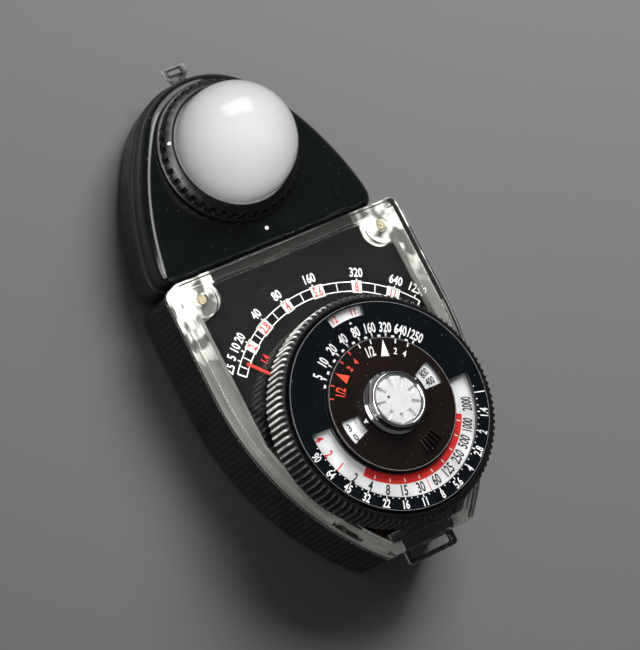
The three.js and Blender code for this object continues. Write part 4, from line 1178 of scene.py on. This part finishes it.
LIGHT_FIGURES = ["5", "10", "20", "40", "80", "160", "320", "640", "1250"]
SCALE_ANGLES = [133.6, 129.3, 125.1, 113.3, 101.6, 86, 66.3, 49.8, 40.6]
APERTURE_FIGURES = [
    "1", "1.4", "2", "2.8", "4", "5.6", "8", "11", "16", "22", "32", "45", "64", "90",
]
STOP_FIGURES = [("2", 125.5), ("2.8", 115), ("4", 100.5), ("5.6", 84.7), ("8", 66.5), ("11", 50)]


def print_scale_plate():
    ink = Print("plate_print", PLATE_HIGH, "body")
    inner, outer = 28.05, 30.1
    for radius in (inner, outer):
        ink.line("white", radius, 0.22, 38, 139)
    for angle in (38, 139):
        ink.tick("white", inner, outer, angle, 0.3)
    for words, angle in zip(LIGHT_FIGURES, SCALE_ANGLES):
        ink.figures("white", words, 32.3, angle, 1.95, 0.74)
        ink.tick("white", outer, outer + 0.75, angle, 0.28)
    last = None
    for words, angle in STOP_FIGURES:
        half = 2.9 if len(words) > 1 else 2.2
        ink.area("white", sector(inner - 0.35, outer + 0.35, angle - half, angle + half, 1.0))
        ink.figures("red", words, 29.05, angle, 1.75, 0.72, lift=PRINT_LIFT)
        if last is not None:
            ink.tick("white", inner, outer, (angle + last) / 2, 0.2)
        last = angle
    for angle in (131.5, 135.5):
        ink.tick("white", inner, outer, angle, 0.2)
    ink.figures("red", "1.4", 25.6, 127.2, 1.5, 0.72)
    ink.figures("white", "2.5", 31.9, 138.2, 1.7, 0.7)
    ink.add()


def print_exposure_disc():
    ink = Print("exposure_print", EXPOSURE_HIGH, "body")
    for i, words in enumerate(LIGHT_FIGURES):
        angle = 137 - 12 * i
        ink.figures("white", words, 16.65, angle, 2.1, 0.62)
        ink.tick("white", FILM_RADIUS + 0.25, 15.4, angle, 0.34)
    for i in range(17):
        angle = 143 - 6 * i
        ink.tick("white", FILM_RADIUS + 0.25, 15.0, angle, 0.7 if i % 2 == 0 else 0.25)
    for i, words in enumerate(APERTURE_FIGURES):
        angle = -14.5 - 12 * i
        ink.figures("white", words, 21.0, angle, 1.75, 0.68, outward=False)
        ink.tick("white", 19.5, 20.1, angle, 0.22)
        for part in (-4, 4):
            ink.area("white", circle(0.13, turn(19.75, angle + part), 10))
    # A thin light grey ring just inside the rim, painted as the highlight of the disc's bevelled
    # edge.
    ink.line("grey", DISC_RADIUS - 0.2, 0.07, 0, 359.9)
    ink.triangle("white", 18.45, 19.0, 89.5, 0.75)
    ink.add()


SHUTTER_FIGURES = [
    ("red", "4", 180.8), ("red", "2", 192.2), ("red", "1", 203.3), ("black", "2", 215.5),
    ("black", "4", 227.3), ("black", "8", 239.7), ("black", "15", 251.6), ("black", "30", 264),
    ("black", "60", 276.8), ("black", "125", 288.6), ("black", "250", 300.6),
    ("black", "500", 312.6), ("black", "1000", 325.0), ("black", "2000", 339.5),
]


def print_shutter_disc():
    ink = Print("shutter_print", SHUTTER_HIGH, "dial")
    for colour, words, angle in SHUTTER_FIGURES:
        squeeze = 0.5 if len(words) > 3 else 0.62
        ink.figures(colour, words, 17.75, angle, 2.15, squeeze, outward=False)
    ink.area("red", sector(14.4, 16.45, 220, 332, 2.0))
    for i in range(9):
        ink.tick("white", 15.3, 16.1, 229 + 12.2 * i, 0.24, lift=PRINT_LIFT)
    ink.tick("red", 16.45, 19.3, 270.3, 0.16)
    for words, angle in (("12", 96), ("11", 83)):
        ink.figures("red", words, 20.9, angle, 1.45, 0.8, lift=PRINT_LIFT)
    ink.add()


def add_film_scale():
    """The film-speed print: a thin foil ring that shows through the inner disc's windows."""
    low, high = 28.78, 28.88
    shape = slab(circle(13.7, steps=128), [circle(7.2, steps=64)], low, high)
    add_piece("film_scale", shape, "dial", "disc_white")
    ink = Print("film_print", high, "dial")
    for words, angle in (("1600", 28), ("800", 17), ("400", 6), ("200", -5), ("100", -16)):
        ink.figures("black", words, 10.6, angle, 1.6, 0.6, twist=90)
    for words, angle in (("9", 160), ("6", 172), ("3", 184), ("0", 196)):
        ink.figures("black", words, 11.2, angle, 1.6, 0.75, outward=False, twist=90)
    for i in range(16):
        ink.tick("black", 8.9, 9.6, 158 + 3.2 * i, 0.13)
    ink.add()


def print_film_disc():
    ink = Print("film_face_print", FILM_HIGH, "film_speed")
    ink.line("grey", FILM_RADIUS - 0.2, 0.08, 0, 359.9)
    for colour, middle, low, high in (("white", 70, 10.1, 13.7), ("orange", 130, 10.6, 13.6)):
        ink.triangle(colour, low, high, middle, 1.9)
        for turn_by in (-24, -12, 12, 24):
            ink.tick(colour, 13.05, 13.95, middle + turn_by, 0.26)
        ink.figures(colour, "1/2", 11.6, middle + 16, 2.1, 0.58)
        ink.figures(colour, "2", 11.4, middle - 12.5, 1.35, 0.8)
        ink.figures(colour, "4", 11.4, middle - 23, 1.35, 0.8)
    for angle in (20, 188):
        ink.triangle("white", 7.2, 8.2, angle, 1.1)
    ink.add()


# ---------------------------------------------------------------- carried-over CAD nodes

def smoothing_group():
    """Smooth shading except at edges sharper than the limit, as a modifier."""
    group = bpy.data.node_groups.new("smooth_by_angle", "GeometryNodeTree")
    for way in ("INPUT", "OUTPUT"):
        group.interface.new_socket("Geometry", in_out=way, socket_type="NodeSocketGeometry")
    nodes, links = group.nodes, group.links
    start = nodes.new("NodeGroupInput")
    end = nodes.new("NodeGroupOutput")
    faces = nodes.new("GeometryNodeSetShadeSmooth")
    faces.domain = "FACE"
    edges = nodes.new("GeometryNodeSetShadeSmooth")
    edges.domain = "EDGE"
    angle = nodes.new("GeometryNodeInputMeshEdgeAngle")
    gentle = nodes.new("FunctionNodeCompare")
    gentle.data_type = "FLOAT"
    gentle.operation = "LESS_THAN"
    gentle.inputs[1].default_value = SHARP_ANGLE
    links.new(start.outputs[0], faces.inputs["Geometry"])
    links.new(faces.outputs[0], edges.inputs["Geometry"])
    links.new(angle.outputs["Unsigned Angle"], gentle.inputs[0])
    links.new(gentle.outputs[0], edges.inputs["Shade Smooth"])
    links.new(edges.outputs[0], end.inputs[0])
    return group


def dress_cad_nodes():
    """Every CAD node that still shows gets its slot's material and softened edges."""
    smoothing = smoothing_group()
    slots = {row["node"]: row["material_slot"] for row in frame["record"]["subparts"]}
    for name, node in frame["nodes"].items():
        material = MATERIALS[slots[name]]
        if not node.data.materials:
            node.data.materials.append(material)
        for index in range(len(node.data.materials)):
            node.data.materials[index] = material
        weld = node.modifiers.new("weld", "WELD")
        weld.merge_threshold = 1e-6
        bevel = node.modifiers.new("bevel", "BEVEL")
        bevel.width = 0.05 * MM
        bevel.segments = 1
        bevel.limit_method = "ANGLE"
        bevel.angle_limit = math.radians(50)
        smooth = node.modifiers.new("smooth", "NODES")
        smooth.node_group = smoothing


# ---------------------------------------------------------------- stage

CAMERA_PLACE = Vector((-258.5, -40.65, 490.5)) * MM
CAMERA_RIGHT = Vector((0.80719, -0.45113, 0.38069))
CAMERA_UP = Vector((0.34908, 0.88487, 0.30845))
CAMERA_LENS = 144
SCENE_CENTRE = Vector((0, 20, 10)) * MM
WORLD_WALL = 0.09
WORLD_CEILING = 0.06
FLOOR_HALF = 3

# Each light's direction, distance, width and height in metres, and watts
LIGHTS = {
    "main": ((0.46, 0.54, 0.71), 0.6, 0.34, 0.34, 3.6),
    "key": ((0.133, 0.767, 0.627), 0.5, 0.38, 0.24, 1.05),
    "left_card": ((-0.35, 0.42, 0.83), 0.6, 0.7, 0.16, 2.4),
    "flank_fill": ((-0.78, 0.1, 0.55), 0.6, 0.4, 0.4, 2.2),
    "dome_fill": ((-0.28, -0.2, 0.92), 0.6, 0.5, 0.5, 4.0),
    "knurl_light": ((-0.62, 0.72, 0.3), 0.6, 0.3, 0.3, 5.0),
}


def add_camera():
    data = bpy.data.cameras.new("camera")
    data.lens = CAMERA_LENS
    data.sensor_width = 36
    data.clip_start = 0.01
    camera = placed("camera", data)
    back = CAMERA_RIGHT.cross(CAMERA_UP)
    rotation = Matrix((CAMERA_RIGHT, CAMERA_UP, back)).transposed()
    camera.matrix_world = Matrix.Translation(CAMERA_PLACE) @ rotation.to_4x4()
    bpy.context.scene.camera = camera
    bpy.context.scene.view_settings.view_transform = "Standard"


def add_softbox(name, direction, distance, width, height, watts):
    """A rectangular area light that looks at the object from a direction."""
    data = bpy.data.lights.new(name, "AREA")
    data.shape = "RECTANGLE"
    data.size = width
    data.size_y = height
    data.energy = watts
    light = placed(name, data)
    away = Vector(direction).normalized()
    light.location = SCENE_CENTRE + away * distance
    light.rotation_euler = away.to_track_quat("Z", "Y").to_euler()
    return light


def link_light(light, state, *pieces):
    """Keeps a light to some pieces, or off them."""
    group = bpy.data.collections.new(light.name + "_pieces")
    light.light_linking.receiver_collection = group
    for index, piece in enumerate(pieces):
        group.objects.link(piece)
        group.collection_objects[index].light_linking.link_state = state


def add_lights(floor, knurl, dome):
    """The main light beyond the right of the head, with reflectors and small fills."""
    lights = {name: add_softbox(name, *row) for name, row in LIGHTS.items()}
    for name in ("main", "dome_fill"):
        lights[name].visible_glossy = False
    lights["left_card"].visible_diffuse = False
    link_light(lights["main"], "EXCLUDE", dome)
    link_light(lights["key"], "EXCLUDE", floor)
    link_light(lights["left_card"], "EXCLUDE", dome)
    link_light(lights["flank_fill"], "EXCLUDE", dome, floor)
    link_light(lights["dome_fill"], "INCLUDE", dome)
    link_light(lights["knurl_light"], "INCLUDE", knurl)


def add_world():
    world = bpy.data.worlds.new("studio")
    world.use_nodes = True
    nodes, links = world.node_tree.nodes, world.node_tree.links
    way = nodes.new("ShaderNodeTexCoord")
    parts = nodes.new("ShaderNodeSeparateXYZ")
    height = nodes.new("ShaderNodeMapRange")
    height.inputs[1].default_value = 0.1
    height.inputs[2].default_value = 0.8
    height.inputs[3].default_value = WORLD_WALL
    height.inputs[4].default_value = WORLD_CEILING
    links.new(way.outputs["Generated"], parts.inputs[0])
    links.new(parts.outputs["Z"], height.inputs[0])
    links.new(height.outputs[0], nodes["Background"].inputs["Strength"])
    nodes["Background"].inputs["Color"].default_value = (1, 1, 1, 1)
    bpy.context.scene.world = world


def add_floor():
    g = Graph("floor_grey")
    tone = g.blend(g.noise(300, 2.0), (0.265, 0.265, 0.265), (0.29, 0.29, 0.29))
    g.set(colour=tone, rough=0.6, normal=g.bump(g.noise(2.0, 4.0), 0.02), gleam=0.2)
    mesh = bpy.data.meshes.new("floor")
    corners = rectangle((-FLOOR_HALF, -FLOOR_HALF), (FLOOR_HALF, FLOOR_HALF))
    mesh.from_pydata([(x, y, 0) for x, y in corners], [], [(0, 1, 2, 3)])
    mesh.materials.append(g.material)
    floor = placed("floor", mesh)
    return floor


add_camera()
add_world()
floor = add_floor()

dress_cad_nodes()
add_lower_case()
add_clear_cover()
add_gasket()
add_scale_plate()
add_strap_bail()
knurl = add_knurled_ring()
add_exposure_disc()
add_shutter_disc()
add_film_scale()
add_film_disc()
add_collar()
add_cap()
add_button_spring()
add_rear_shell()
add_front_shell()
add_head_mark()
add_diffuser_ring()
dome = add_dome()
add_lights(floor, knurl, dome)
print_scale_plate()
print_exposure_disc()
print_shutter_disc()
print_film_disc()
